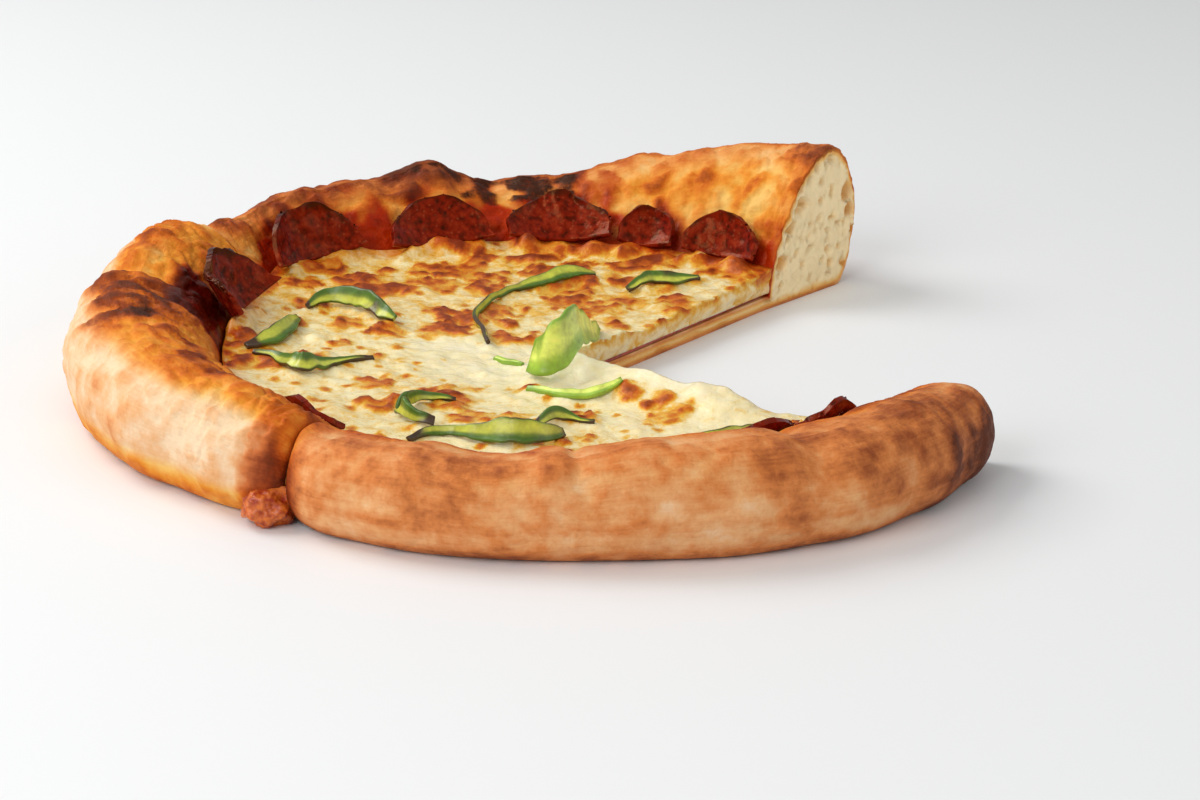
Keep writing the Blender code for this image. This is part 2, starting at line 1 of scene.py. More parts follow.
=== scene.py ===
"""Dresses a packed deep-rimmed pizza: baked dough, melted cheese, pepperoni and strips of green pepper.

Each CAD solid keeps its form. A finer piece made from the same sizes takes its place, with the relief of
baking, and with masks that tell the materials where the food is browned, floury, charred, oily or cut,
and where shade is painted.
Sizes are millimetres in the functions and metres in the meshes. Angles are degrees round the pizza's centre.
"""

import math
import random

import bmesh
import bpy
import numpy as np
from bpy.props import FloatProperty, FloatVectorProperty, PointerProperty
from mathutils import Matrix, Vector, noise


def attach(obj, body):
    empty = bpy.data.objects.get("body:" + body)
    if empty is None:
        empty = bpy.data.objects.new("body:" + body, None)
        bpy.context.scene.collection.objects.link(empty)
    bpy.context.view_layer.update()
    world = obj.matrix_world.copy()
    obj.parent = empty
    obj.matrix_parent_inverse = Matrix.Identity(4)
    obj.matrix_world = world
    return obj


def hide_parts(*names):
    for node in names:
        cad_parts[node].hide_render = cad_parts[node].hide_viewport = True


bl_info = {
    "name": "Deep-rimmed pizza",
    "version": (1, 0, 0),
    "blender": (4, 5, 0),
    "location": "3D View > Sidebar > Pizza",
    "description": "Models the looks of a baked pizza round its packed solids",
    "category": "Mesh",
}

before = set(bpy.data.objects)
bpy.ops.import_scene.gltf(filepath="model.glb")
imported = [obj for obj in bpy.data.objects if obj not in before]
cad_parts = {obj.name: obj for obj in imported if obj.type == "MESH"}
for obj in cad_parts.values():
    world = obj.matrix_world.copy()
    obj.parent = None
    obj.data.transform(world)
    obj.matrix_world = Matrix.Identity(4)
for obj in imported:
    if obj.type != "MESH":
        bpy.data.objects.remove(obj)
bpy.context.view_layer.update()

MM = 0.001
CENTRE = np.array([11.79, -1.963, 0.0])

# The knife's cuts, as the solids have them
GAP_FAR = 50.0
SEAM_BACK = 152.0
SEAM_FRONT = 239.0
GAP_NEAR = 335.0
KNIFE_GAP = 0.8
CUTS_MEET = np.array([0.0, -12.0, 0.0])
CUTS_MEET_WITHIN = 107.0
NEAR_CUT_SWING = ((0, 30), (30, 27), (45, 24), (78, 18), (105, 10.5), (125, 4), (143, 0))
NEAR_CUT_SWING_FROM = 275.0
SLICES = (
    ("dough_back", GAP_FAR, SEAM_BACK),
    ("dough_left", SEAM_BACK, SEAM_FRONT),
    ("dough_front", SEAM_FRONT, GAP_NEAR),
)
OPEN_CUTS = ((GAP_FAR, -1), (GAP_NEAR, 1))

# The layers
BASE_THICKNESS = 4.6
SAUCE_THICKNESS = 0.9
LAYER_GAP = 0.3
CHEESE_MIDDLE = 10.2
CHEESE_NEAR_RIM = 12.8
CHEESE_LEVEL_FROM = 95.0
CHEESE_CLIMB = 2.0
CHEESE_CLIMB_WIDTH = 5.0
WALL_GAP = 0.6

# The rim: (angle, size) pairs
CREST_HEIGHT = (
    (50, 53), (56, 51.5), (63, 48), (70, 44.5), (77, 41.5), (85, 36.5), (93, 32.5), (100, 31.6), (106, 35),
    (111, 39), (116, 36), (124, 35.2), (133, 35.3), (141, 32.5), (151, 31.5), (153, 35), (158, 38),
    (164, 39.5), (171, 37.5), (176, 34.5), (182, 36.5), (192, 37), (204, 36), (216, 35), (228, 33.5),
    (237, 31), (242, 26.5), (248, 27.3), (255, 28.3), (263, 26.3), (271, 29.3), (280, 32), (290, 32.2),
    (296, 31.6), (300, 29.6), (308, 30), (316, 30.2), (322, 29), (329, 27.3), (335, 25),
)
CREST_RADIUS = (
    (50, 147), (62, 148), (77, 143), (92, 138), (110, 139), (130, 138), (150, 137), (165, 137), (180, 138),
    (215, 137), (238, 136), (250, 141), (300, 141), (320, 139), (335, 135),
)
OUTER_RADIUS = (
    (50, 163), (62, 165), (77, 160), (92, 154), (100, 153), (111, 158), (124, 156), (136, 153),
    (145, 149.5), (151, 148), (160, 153), (168, 155), (176, 151.5), (184, 155), (200, 156), (215, 154.5),
    (228, 151), (239, 148.5), (247, 151.5), (256, 153.2), (268, 152.8), (280, 153.5), (292, 156),
    (304, 157), (316, 155), (326, 151.5), (335, 147),
)
INNER_RADIUS = (
    (50, 112), (75, 109), (92, 108), (103, 110), (120, 113), (132, 121), (141, 123), (151, 114), (165, 108),
    (180, 105), (200, 107), (220, 110), (239, 112), (335, 112),
)
INNER_FULLNESS = (
    (50, 1.7), (66, 1.45), (80, 1.35), (140, 1.4), (156, 1.6), (176, 1.8), (192, 2.0), (335, 2.0),
)
FOOT_TUCK = 9.0
BULGE_SHARE = 0.46
RIM_ENDS = (
    (GAP_FAR, 2.5, 2.0), (SEAM_BACK, 4.0, 3.6), (SEAM_FRONT, 5.5, 6.5), (GAP_NEAR, 5.0, 5.0),
)
END_LOWERS_CREST = 0.5
END_DRAWS_CREST = 0.4
FOLDS = (
    (58, 2.5, 1.6), (73, 3.0, 1.4), (88, 2.4, 1.8), (103.5, 3.0, 3.0), (119, 2.5, 1.6), (128, 2.0, 1.2),
    (144, 2.5, 1.4), (168, 2.6, 2.2), (176, 2.4, 2.8), (186, 2.2, 1.4), (222, 2.6, 1.3), (276, 3.5, 1.0),
    (299, 2.4, 1.3), (313, 3.0, 0.9),
)
FOLD_LOWERS_CREST = 0.7
FOLD_DRAWS_OUTSIDE = 0.6
BROAD_BUMPS = (1.1, 19.0)
SMALL_BUMPS = (0.6, 9.0)
SMOOTH_FOOT = 1.0
SMOOTH_SLOPE = 17.0
SMOOTH_BAND = 7.0

# How finely the dough is cut: stations along the section and rings along the rim
UPPER_STATIONS = 24
SLOPE_STATIONS = 56
SHOULDER_STATIONS = 30
FOOT_STATIONS = 30
FACE_ROWS = 44
DOUGH_STEP = 0.38
END_CROWDING = 0.6
MERGE = 0.02

# The cheese: blisters and waves as the solid has them, then what only shows close up
BLISTER_COUNT = 120
BLISTER_RADIUS = (3.0, 7.5)
BLISTER_RISE = (0.4, 1.2)
BLISTERS_WITHIN = 108.0
BROAD_WAVES = (0.8, 15.0)
SMALL_WAVES = (0.45, 7.0)
LEVEL_EDGE = 1.0
LEVEL_EDGE_WIDTH = 8.0
MOUNDS = (
    (4, -16, 13, 3.5), (17, -22, 13, 6.0), (28, -36, 13, 6.5), (42, -46, 12, 5.5), (53, -57, 11, 4.5),
    (16, 12, 12, 3.0),
)
CHEESE_OVERHANG = 2.2
OVERHANG_SPAN = 13.0
OVERHANG_HEIGHTS = (6.0, 14.0)
OVERHANG_REACH = (0.0, 12.0, 98.0, 112.0)
CHEESE_STATIONS = 92
CHEESE_EDGE_ROWS = 8
CHEESE_RINGS = 430
ON_CUT_WITHIN = 0.001
CLIMB_ON_PEPPERONI = 2.8
BED_RISE = 0.9
BED_WIDTH = 3.2

# Pepperoni: (node, angle, disc radius, how far up the slope its middle lies, curl, lean)
PEPPERONI_THICKNESS = 1.9
PEPPERONI_CLEARANCE = 0.7
PEPPERONI_TOE = 0.9
PEPPERONI_SUNK = 2.6
PEPPERONI_TOP = 0.16
PEPPERONI_TIP_CURL = 0.35
PEPPERONI_RIPPLE = 0.5
PLEAT_DEPTH, PLEAT_WIDTH, PLEAT_LENGTH = 3.2, 7.5, 22.0
LIP_FLARE = 1.8
PEPPERONI_LEANS_AT = 0.12
PEPPERONI_STANDS_AT = 108.0
SLOPE_SAMPLES = 2001
PEPPERONI_ACROSS = 56
PEPPERONI_UP = 32
PEPPERONI = (
    ("pepperoni_back_1", 136.0, 21.5, -5.0, 5.0, 0.12),
    ("pepperoni_back_2", 113.0, 21.0, -6.0, 4.5, -0.05),
    ("pepperoni_back_3", 91.2, 19.5, -4.0, 4.5, 0.06),
    ("pepperoni_back_4", 75.2, 10.5, 1.0, 3.5, -0.05),
    ("pepperoni_back_5", 60.5, 16.0, -3.5, 3.5, 0.05),
    ("pepperoni_left_1", 169.0, 22.0, -4.0, 8.5, 0.10),
    ("pepperoni_left_2", 229.5, 15.0, -8.5, 2.6, 0.05),
    ("pepperoni_front_1", 301.0, 14.0, -5.0, 2.6, 0.10),
    ("pepperoni_front_2", 316.0, 12.5, -4.5, 2.6, -0.10),
)

# Strips of pepper: each point is (x, y, lift above the cheese, half width, tilt in degrees)
PEPPER_THICKNESS = 1.4
PEPPER_CLEARANCE = 0.7
PEPPER_CUP = 0.18
PEPPER_SINKS = 0.5
RUN_SAMPLE = 0.02
PEPPER_FEET = ((0, 0), (1, 0), (-1, 0), (0, 1), (0, -1))
PEPPER_STEPS = 12
PEPPER_ROWS = 8
PEPPERS = {
    "pepper_left_upper": (
        (-84, 32, 0.3, 1.0, 40), (-81, 37, 0.5, 2.2, 50), (-76, 38, 0.8, 2.8, 55), (-70, 36, 0.8, 3.2, 58),
        (-65, 32, 0.8, 3.2, 58), (-60, 25, 0.5, 3.0, 50), (-54, 20, 0.3, 1.4, 30),
    ),
    "pepper_left_branch": (
        (-99, -11, 0.3, 1.2, 20), (-94, -7, 0.5, 2.4, 35), (-90, -2, 0.5, 3.2, 30), (-87, 7, 0.5, 2.8, 35),
        (-86, 20, 0.3, 1.4, 40),
    ),
    "pepper_left_lower": (
        (-96, -17, 0.3, 0.9, 30), (-90, -19, 0.3, 1.4, 30), (-85, -26, 0.4, 2.2, 40),
        (-79, -33, 0.5, 3.2, 45), (-74, -29, 0.5, 2.8, 35), (-69, -23, 0.3, 1.4, 30),
        (-64, -19, 0.3, 1.0, 30), (-58, -16, 0.2, 0.8, 30),
    ),
    "pepper_middle": (
        (-23, 4, 0.3, 0.8, 60), (-25, 16, 0.3, 1.0, 60), (-28, 28, 0.3, 1.1, 60), (-26, 40, 0.3, 1.2, 60),
        (-22, 50, 0.3, 1.2, 60), (-15, 60, 0.3, 1.3, 40), (-8, 66, 0.5, 2.4, 30), (-2, 70, 0.6, 2.6, 35),
        (4, 74, 0.5, 2.2, 40), (11, 76, 0.2, 0.9, 30),
    ),
    "pepper_front_curl": (
        (-30, -54, 0.2, 0.8, -40), (-36, -54, 0.3, 1.2, -60), (-41, -57, 0.5, 1.8, -70),
        (-44, -64, 0.6, 2.6, -80), (-45, -71, 0.6, 2.8, 80), (-41, -77, 0.5, 2.0, 75),
        (-35, -79, 0.3, 1.5, 60),
    ),
    "pepper_front_long": (
        (-42, -92, 0.2, 0.8, 40), (-37, -86, 0.3, 1.3, 50), (-30, -85, 0.4, 1.5, 60),
        (-23, -89, 0.5, 2.4, 60), (-16, -92, 0.6, 3.6, 55), (-8, -93, 0.6, 3.8, 55), (-1, -90, 0.5, 2.8, 60),
        (3, -84, 0.3, 1.4, 60),
    ),
    "pepper_front_knob": (
        (-5, -76, 0.3, 1.2, 60), (0, -72, 0.4, 2.0, 60), (4, -71, 0.4, 1.6, 50), (8, -72, 0.2, 0.8, 40),
        (12, -73, 0.2, 0.7, 40),
    ),
    "pepper_centre_leaf": (
        (-8, -29, 0.3, 5.5, 70), (-4, -34, 0.3, 7.6, 75), (0, -33, 0.3, 8.0, 78), (4, -27, 0.3, 7.6, 78),
        (7, -17, 0.3, 6.2, 75), (10, -3, 0.3, 4.4, 70), (12, 13, 0.3, 1.8, 60),
    ),
    "pepper_centre_stem": (
        (-20, -9, 0.2, 1.1, 10), (-17, -12, 0.3, 1.0, 10), (-14, -15, 0.3, 1.0, 10),
        (-11, -18, 0.2, 0.9, 10),
    ),
    "pepper_centre_strip": (
        (-9, -41, 0.2, 0.9, 30), (-3, -44, 0.3, 1.3, 30), (3, -47, 0.4, 1.6, 25), (9, -48, 0.4, 1.9, 25),
        (14, -47, 0.4, 1.8, 30), (20, -43, 0.2, 0.9, 30),
    ),
    "pepper_far": (
        (22, 62, 0.3, 1.2, 30), (30, 69, 0.5, 2.2, 45), (38, 70, 0.5, 2.4, 40), (47, 75, 0.2, 1.0, 20),
    ),
    "pepper_gap_edge": (
        (40, -89, 0.2, 1.2, 30), (49, -87, 0.5, 2.2, 45), (58, -82, 0.4, 2.0, 40), (66, -76, 0.2, 1.0, 25),
    ),
}
FRESH_PEPPERS = ("pepper_centre_leaf", "pepper_centre_stem", "pepper_centre_strip")

# The lump squeezed out of the front seam
SPILL_ANGLE = 237.0
SPILL_RADIUS = 144.0
SPILL_SIZE = (8.0, 8.5, 6.5)
SPILL_MIDDLE = 5.2
SPILL_LUMPS = 0.28

# The camera, relative to the pizza's centre
LENS = 85.0
SENSOR_WIDTH = 36.0
CAMERA_ELEVATION = 19.5
CAMERA_DISTANCE = 900.0
CAMERA_TARGET = (13.5, -13.0, 0.0)
CAMERA_ROLL = 1.2

# The floor's half width and the lights, in metres from the pizza's centre: (name, place, size, power's name)
FLOOR_REACH = 6.0
LIGHTS = (
    ("main_light", (-0.9, 0.35, 1.0), 0.8, "key_power"),
    ("front_light", (-0.8, -1.05, 0.85), 0.9, "fill_power"),
    ("side_light", (1.1, -0.35, 0.7), 0.8, "side_power"),
)

# Kinds of station round a slice's section
UNDER, FOOT, SHOULDER, SLOPE, UPPER, CORE = range(6)


# Small helpers


def smooth(t):
    """0 to 1 with a soft start and end."""
    t = np.clip(t, 0.0, 1.0)
    return t * t * (3 - 2 * t)


def window(at, start, end, soft):
    """1 between start and end, fading to 0 over a soft width outside them."""
    return smooth((at - start + soft) / soft) * smooth((end + soft - at) / soft)


def along(table, at):
    """The sizes that a table of pairs gives at each place, eased between the pairs."""
    pairs = np.asarray(table, float)
    at = np.clip(at, pairs[0, 0], pairs[-1, 0])
    first = np.clip(np.searchsorted(pairs[:, 0], at, side="right") - 1, 0, len(pairs) - 2)
    share = (at - pairs[first, 0]) / (pairs[first + 1, 0] - pairs[first, 0])
    return pairs[first, 1] + (pairs[first + 1, 1] - pairs[first, 1]) * (0.5 - 0.5 * np.cos(np.pi * share))


def lumps(points, span, shift=0.0):
    """Noise at each point, about -1 to 1, whose lumps are about span wide."""
    return np.array([noise.noise(p) for p in (points / span + shift).tolist()])


def crackle(points, span, shift=0.0):
    """Distance to the nearest and the second nearest of scattered seeds about span apart, in spans."""
    found = [noise.voronoi(p)[0] for p in (points / span + shift).tolist()]
    found = np.array([(d[0], d[1]) for d in found])
    return found[:, 0], found[:, 1]


def cells(points, span, shift=0.0):
    """Each point's distance to the nearest scattered seed, in spans, and that seed's own number, 0 to 1."""
    near = [(d[0], *p[0]) for d, p in map(noise.voronoi, (points / span + shift).tolist())]
    near = np.array(near).reshape(-1, 4)
    own = np.sin(near[:, 1:] @ np.array([12.9898, 78.233, 37.719])) * 43758.5453
    return near[:, 0], own - np.floor(own)


def polar(angle, radius, height):
    turn = np.radians(angle)
    return np.stack([radius * np.cos(turn), radius * np.sin(turn), height + 0 * turn], axis=-1)


def in_plane(x, y):
    return np.stack([x, y, 0 * x], axis=-1)


def bearing(x, y):
    return np.degrees(np.arctan2(y, x)) % 360


def lengths(vectors):
    return np.linalg.norm(vectors, axis=-1)


# The pizza's form, with the solids' own functions


def drawn_back(angle):
    """How far a slice's corner is rounded back at the knife's cuts."""
    most = np.zeros_like(angle)
    for where, reach, depth in RIM_ENDS:
        near = np.clip(1 - np.abs(angle - where) / reach, 0, 1)
        most = np.maximum(most, depth * (1 - np.sqrt(1 - near * near)))
    return most


class Rim:
    """The rim's sizes at each of many angles."""

    def __init__(self, angle):
        angle = np.asarray(angle, float)
        back = drawn_back(angle)
        fold = sum(depth * np.exp(-(((angle - where) / width) ** 2)) for where, width, depth in FOLDS)
        self.height = along(CREST_HEIGHT, angle) - END_LOWERS_CREST * back - FOLD_LOWERS_CREST * fold
        self.crest = along(CREST_RADIUS, angle) - END_DRAWS_CREST * back
        self.outer = along(OUTER_RADIUS, angle) - back - FOLD_DRAWS_OUTSIDE * fold
        self.inner = along(INNER_RADIUS, angle)
        self.full = along(INNER_FULLNESS, angle)
        self.foot = self.outer - FOOT_TUCK
        self.bulge = BULGE_SHARE * self.height

    def slope_point(self, share):
        turn = share * math.pi / 2
        across = np.clip(np.sin(turn), 0, 1) ** (2 / self.full)
        down = np.clip(np.cos(turn), 0, 1) ** (2 / self.full)
        radius = self.crest - (self.crest - self.inner) * across
        return radius, BASE_THICKNESS + (self.height - BASE_THICKNESS) * down

    def wall_radius(self, height):
        up = np.clip((height - BASE_THICKNESS) / (self.height - BASE_THICKNESS), 0, 1)
        return self.crest - (self.crest - self.inner) * (1 - up**self.full) ** (1 / self.full)


def along_cut(angle, radius):
    """The angle turned so that the slice's end follows the bent near cut."""
    share = smooth((angle - NEAR_CUT_SWING_FROM) / (GAP_NEAR - NEAR_CUT_SWING_FROM))
    return angle - share * along(NEAR_CUT_SWING, radius)


def towards_meeting(points):
    """Moves the middle of the pizza to where the knife's cuts meet."""
    radius = np.hypot(points[..., 0], points[..., 1])
    return points + CUTS_MEET * np.clip(1 - radius / CUTS_MEET_WITHIN, 0, None)[..., None]


def section_radius(rim, kind, share):
    quarter = share * math.pi / 2
    return np.select(
        [kind == UNDER, kind == FOOT, kind == SHOULDER, kind == SLOPE, kind == UPPER],
        [
            share * rim.foot,
            rim.foot + (rim.outer - rim.foot) * np.sin(quarter),
            rim.crest + (rim.outer - rim.crest) * np.cos(quarter),
            rim.slope_point(share)[0],
            share * rim.inner,
        ],
        0.0,
    )


def section_height(rim, kind, share):
    quarter = share * math.pi / 2
    return np.select(
        [kind == UNDER, kind == FOOT, kind == SHOULDER, kind == SLOPE, kind == UPPER, kind == CORE],
        [
            0.0 * share,
            rim.bulge * (1 - np.cos(quarter)),
            rim.bulge + (rim.height - rim.bulge) * np.sin(quarter),
            rim.slope_point(share)[1],
            BASE_THICKNESS + 0 * share,
            BASE_THICKNESS * share,
        ],
    )


def crust_points(angle, kind, share):
    """Where each station of a slice's section lies, with the bumps that the solid has."""
    turned = along_cut(angle, section_radius(Rim(angle), kind, share))
    rim = Rim(turned)
    radius, height = section_radius(rim, kind, share), section_height(rim, kind, share)
    base = polar(turned, radius, height)
    heart = polar(turned, (rim.crest + rim.inner + rim.outer) / 3, rim.bulge)
    away = base - heart
    away /= lengths(away)[:, None]
    on_skin = (kind == FOOT) | (kind == SHOULDER) | (kind == SLOPE)
    keep = smooth((height - np.where(kind == SLOPE, SMOOTH_SLOPE, SMOOTH_FOOT)) / SMOOTH_BAND) * on_skin
    rise = sum(
        size * lumps(base, span, np.array([7.0, 3.0, 1.0]) * layer)
        for layer, (size, span) in enumerate((BROAD_BUMPS, SMALL_BUMPS))
    )
    points = towards_meeting(base + away * (rise * keep)[:, None])
    return points, away, turned, rim, rise * keep


def scattered_blisters():
    """(x, y, radius, rise) of each browned blister, by the draw that the solid uses."""
    draw = random.Random(7)
    found = []
    while len(found) < BLISTER_COUNT:
        x = draw.uniform(-BLISTERS_WITHIN, BLISTERS_WITHIN)
        y = draw.uniform(-BLISTERS_WITHIN, BLISTERS_WITHIN)
        radius = draw.uniform(*BLISTER_RADIUS)
        if math.hypot(x, y) < BLISTERS_WITHIN:
            found.append((x, y, radius, draw.uniform(*BLISTER_RISE)))
    return found


blisters = scattered_blisters()


def mounds_rise(x, y):
    return sum(
        rise * np.exp(-((x - mx) ** 2 + (y - my) ** 2) / (size * size)) for mx, my, size, rise in MOUNDS
    )


def cheese_height(x, y):
    """The height of the cheese's top as the solid has it."""
    x, y = np.atleast_1d(np.asarray(x, float)), np.atleast_1d(np.asarray(y, float))
    radius = np.hypot(x, y)
    edge = Rim(bearing(x, y)).wall_radius(CHEESE_NEAR_RIM) - radius
    height = CHEESE_MIDDLE + (CHEESE_NEAR_RIM - CHEESE_MIDDLE) * smooth(radius / CHEESE_LEVEL_FROM)
    height += CHEESE_CLIMB * np.exp(-np.clip(edge, 0, None) / CHEESE_CLIMB_WIDTH)
    inside = smooth((edge - LEVEL_EDGE) / LEVEL_EDGE_WIDTH)
    flat = in_plane(x, y)
    for layer, (rise, span) in enumerate((BROAD_WAVES, SMALL_WAVES)):
        height += inside * rise * lumps(flat, span, np.array([0.0, 0.0, 4.0 * layer]))
    for bx, by, size, rise in blisters:
        away = np.hypot(x - bx, y - by) / size
        height += inside * rise * np.clip(1 - away * away, 0, None) ** 2
    return height + mounds_rise(x, y)


def overhang(points, cut, towards):
    """How far the soft cheese has run out over a cut face."""
    out = np.hypot(points[:, 0], points[:, 1])
    low, high = OVERHANG_HEIGHTS
    begins, full, fades, ends = OVERHANG_REACH
    wave = np.clip(0.5 + lumps(in_plane(out, 0 * out), OVERHANG_SPAN, np.array([0, cut, 2.0])), 0, None)
    swell = np.sin(np.pi * smooth((points[:, 2] - low) / (high - low)))
    swell *= smooth((out - begins) / (full - begins)) * smooth((ends - out) / (ends - fades))
    return polar(cut + 90 * towards + 0 * out, CHEESE_OVERHANG * wave * swell, 0 * out)


# Mesh making


def spun_tube(count, start, end, steps, crowding=0.0):
    """A ring of corners spun from one angle to another. Gives the mesh, and each corner's station and angle.

    The ring has a radius of 1 and stands 2 out from the axis, until the corners are moved to their places.
    """
    mesh = bmesh.new()
    stand = Matrix.Translation((2, 0, 0)) @ Matrix.Rotation(math.pi / 2, 4, "X")
    bmesh.ops.create_circle(mesh, cap_ends=False, segments=count, radius=1, matrix=stand)
    mark = mesh.verts.layers.int.new("station")
    for corner in mesh.verts:
        corner[mark] = round(math.atan2(corner.co.z, corner.co.x - 2) / math.tau * count) % count
    bmesh.ops.spin(
        mesh, geom=mesh.verts[:] + mesh.edges[:], cent=(0, 0, 0), axis=(0, 0, 1),
        angle=math.radians(end - start), steps=steps,
    )
    places = np.array([corner.co for corner in mesh.verts])
    station = np.array([corner[mark] for corner in mesh.verts])
    span = end - start
    half_step = span / steps / 2
    turned = (np.degrees(np.arctan2(places[:, 1], places[:, 0])) + half_step) % 360 - half_step
    turned -= crowding * span * np.sin(2 * np.pi * turned / span) / (2 * np.pi)
    return mesh, station, start + turned


def end_face(mesh, columns, rows):
    """A grid for one cut face. Gives each corner's column and its share of the way up."""
    made = bmesh.ops.create_grid(mesh, x_segments=columns - 1, y_segments=rows, size=1)["verts"]
    column = np.array([round((corner.co.x + 1) / 2 * (columns - 1)) for corner in made])
    up = np.array([round((corner.co.y + 1) / 2 * rows) / rows for corner in made])
    return column, up


def set_masks(mesh, masks):
    for name, values in masks.items():
        layer = mesh.verts.layers.float.new(name)
        for corner, value in zip(mesh.verts, values.tolist()):
            corner[layer] = value


def move_corners(mesh, points):
    for corner, place in zip(mesh.verts, ((points + CENTRE) * MM).tolist()):
        corner.co = place


def finished(name, mesh, node, material):
    """The bmesh as an object that stands for a CAD node, shaded smooth, with its faces outwards."""
    bmesh.ops.remove_doubles(mesh, verts=mesh.verts[:], dist=MERGE * MM)
    bmesh.ops.recalc_face_normals(mesh, faces=mesh.faces[:])
    data = bpy.data.meshes.new(name)
    mesh.to_mesh(data)
    mesh.free()
    data.shade_smooth()
    piece = bpy.data.objects.new(name, data)
    bpy.context.scene.collection.objects.link(piece)
    data.materials.append(material)
    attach(piece, "root")
    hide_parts(node)
    return piece


# Materials

# Where a Mix node keeps its two colours, and what they make
ONE, OTHER, MIXED = 6, 7, 2

CRUST_MASKS = ("tone", "gold", "char", "wet", "crumb", "around", "over")

# The places of the crust's five colours on its scale of browning
BAKED_STAGES = (0.0, 0.3, 0.55, 0.78, 1.0)

# How many stretch marks fit in a metre round the rim and over it
STRETCH_MARKS = (110.0, 1100.0, 1.0)


def linear(colour):
    """A linear colour from an sRGB hex value."""
    parts = [int(colour[i : i + 2], 16) / 255 for i in (1, 3, 5)]
    return [p / 12.92 if p <= 0.04045 else ((p + 0.055) / 1.055) ** 2.4 for p in parts]


def feed(tree, node, inputs):
    """Links a node's inputs to the sockets given for them, and sets the others to their values."""
    for key, value in inputs.items():
        if isinstance(value, bpy.types.NodeSocket):
            tree.links.new(value, node.inputs[key])
        else:
            node.inputs[key].default_value = value


def add(tree, kind, inputs=None, output=0, stops=None, **settings):
    """Adds a node with its settings, its ramp's stops and its inputs, and gives one of its outputs."""
    made = tree.nodes.new("ShaderNode" + kind)
    for key, value in settings.items():
        setattr(made, key, value)
    feed(tree, made, inputs or {})
    if stops:
        ramp = made.color_ramp.elements
        while len(ramp) < len(stops):
            ramp.new(1.0)
        for element, (place, colour) in zip(ramp, stops):
            element.position = place
            element.color = (*colour, 1)
    return made.outputs[output]


def new_material(name):
    material = bpy.data.materials.new(name)
    material.use_nodes = True
    tree = material.node_tree
    return material, tree, tree.nodes["Principled BSDF"]


def baked_crust(look):
    """Oven-baked wheat dough: matt and dry, floury where it is pale, browned on every high place.

    The eye sees blotches of tan to brown a centimetre or two wide, fine lengthwise stretch marks, and, where
    it is cut, cream crumb full of holes.
    """
    material, tree, shader = new_material("baked_crust")
    place = add(tree, "TexCoord", output="Object")
    tone, gold, char, wet, crumb, around, over = (
        add(tree, "Attribute", output="Fac", attribute_name=mask) for mask in CRUST_MASKS
    )
    # Stretch marks 0.9 mm wide and 9 mm long run round the rim
    laid = add(tree, "CombineXYZ", {"X": around, "Y": over})
    laid = add(tree, "VectorMath", {0: laid, 1: STRETCH_MARKS}, operation="MULTIPLY")
    marks = add(tree, "TexNoise", {"Vector": laid, "Scale": 1.0, "Detail": 3.0})
    # Flour grain and scorch freckles, 1.2 mm and 4 mm wide
    grain = add(tree, "TexNoise", {"Vector": place, "Scale": 850.0, "Detail": 4.0})
    freckle = add(tree, "TexNoise", {"Vector": place, "Scale": 250.0, "Detail": 3.0})
    uneven = tone
    for pattern, share in ((freckle, 0.26), (grain, 0.2), (marks, 0.16)):
        uneven = add(tree, "Math", {0: pattern, 1: share, 2: uneven}, operation="MULTIPLY_ADD")
    uneven = add(tree, "Math", {0: uneven, 1: 0.31}, operation="SUBTRACT")
    dry = (look.crust_flour, look.crust_pale, look.crust_tan, look.crust_brown, look.crust_dark)
    buttery = (look.gold_light, look.gold_warm, look.gold_brown, look.gold_deep, look.crust_dark)
    tan, golden = (
        add(tree, "ValToRGB", {"Fac": uneven}, stops=tuple(zip(BAKED_STAGES, shades)))
        for shades in (dry, buttery)
    )
    colour = add(tree, "Mix", {"Factor": gold, ONE: tan, OTHER: golden}, MIXED, data_type="RGBA")
    # Oil, tomato and painted shade all darken the crust through this multiplied stain colour
    stain_and_shade = add(
        tree, "Mix", {"Factor": wet, ONE: colour, OTHER: (*look.oil_stain_and_shade, 1)}, MIXED, data_type="RGBA",
        blend_type="MULTIPLY",
    )
    inside = add(tree, "Math", {0: grain, 1: 0.25, 2: crumb}, operation="MULTIPLY_ADD")
    # Crumb colours; the crumb shade colour also paints shade in the holes
    airy = ((0.12, look.gold_warm), (0.45, look.crumb_shade), (1.0, look.crumb))
    inside = add(tree, "ValToRGB", {"Fac": inside}, stops=airy)
    cut = add(tree, "MapRange", {"Value": crumb, "From Max": 0.12}, clamp=True)
    colour = add(tree, "Mix", {"Factor": cut, ONE: stain_and_shade, OTHER: inside}, MIXED, data_type="RGBA")
    burnt = char
    for pattern, share in ((freckle, 0.7), (grain, 0.5)):
        burnt = add(tree, "Math", {0: pattern, 1: share, 2: burnt}, operation="MULTIPLY_ADD")
    burnt = add(tree, "MapRange", {"Value": burnt, "From Min": 0.85, "From Max": 1.5}, clamp=True)
    charred = {"Factor": burnt, ONE: colour, OTHER: (*look.char, 1)}
    bumps = add(tree, "Bump", {"Height": grain, "Strength": 0.55, "Distance": 0.0005})
    bumps = add(tree, "Bump", {"Height": freckle, "Strength": 0.4, "Distance": 0.001, "Normal": bumps})
    bumps = add(tree, "Bump", {"Height": marks, "Strength": 0.35, "Distance": 0.0005, "Normal": bumps})
    feed(tree, shader, {
        "Base Color": add(tree, "Mix", charred, MIXED, data_type="RGBA"),
        "Roughness": add(tree, "MapRange", {"Value": wet, "To Min": 0.68, "To Max": 0.36}, clamp=True),
        "Normal": bumps,
        "Specular IOR Level": 0.26,
        "Specular Tint": (*linear("#FFD9A8"), 1),
        "Subsurface Weight": 0.06,
        "Subsurface Radius": (1.0, 0.5, 0.25),
        "Subsurface Scale": 0.002,
    })
    return material


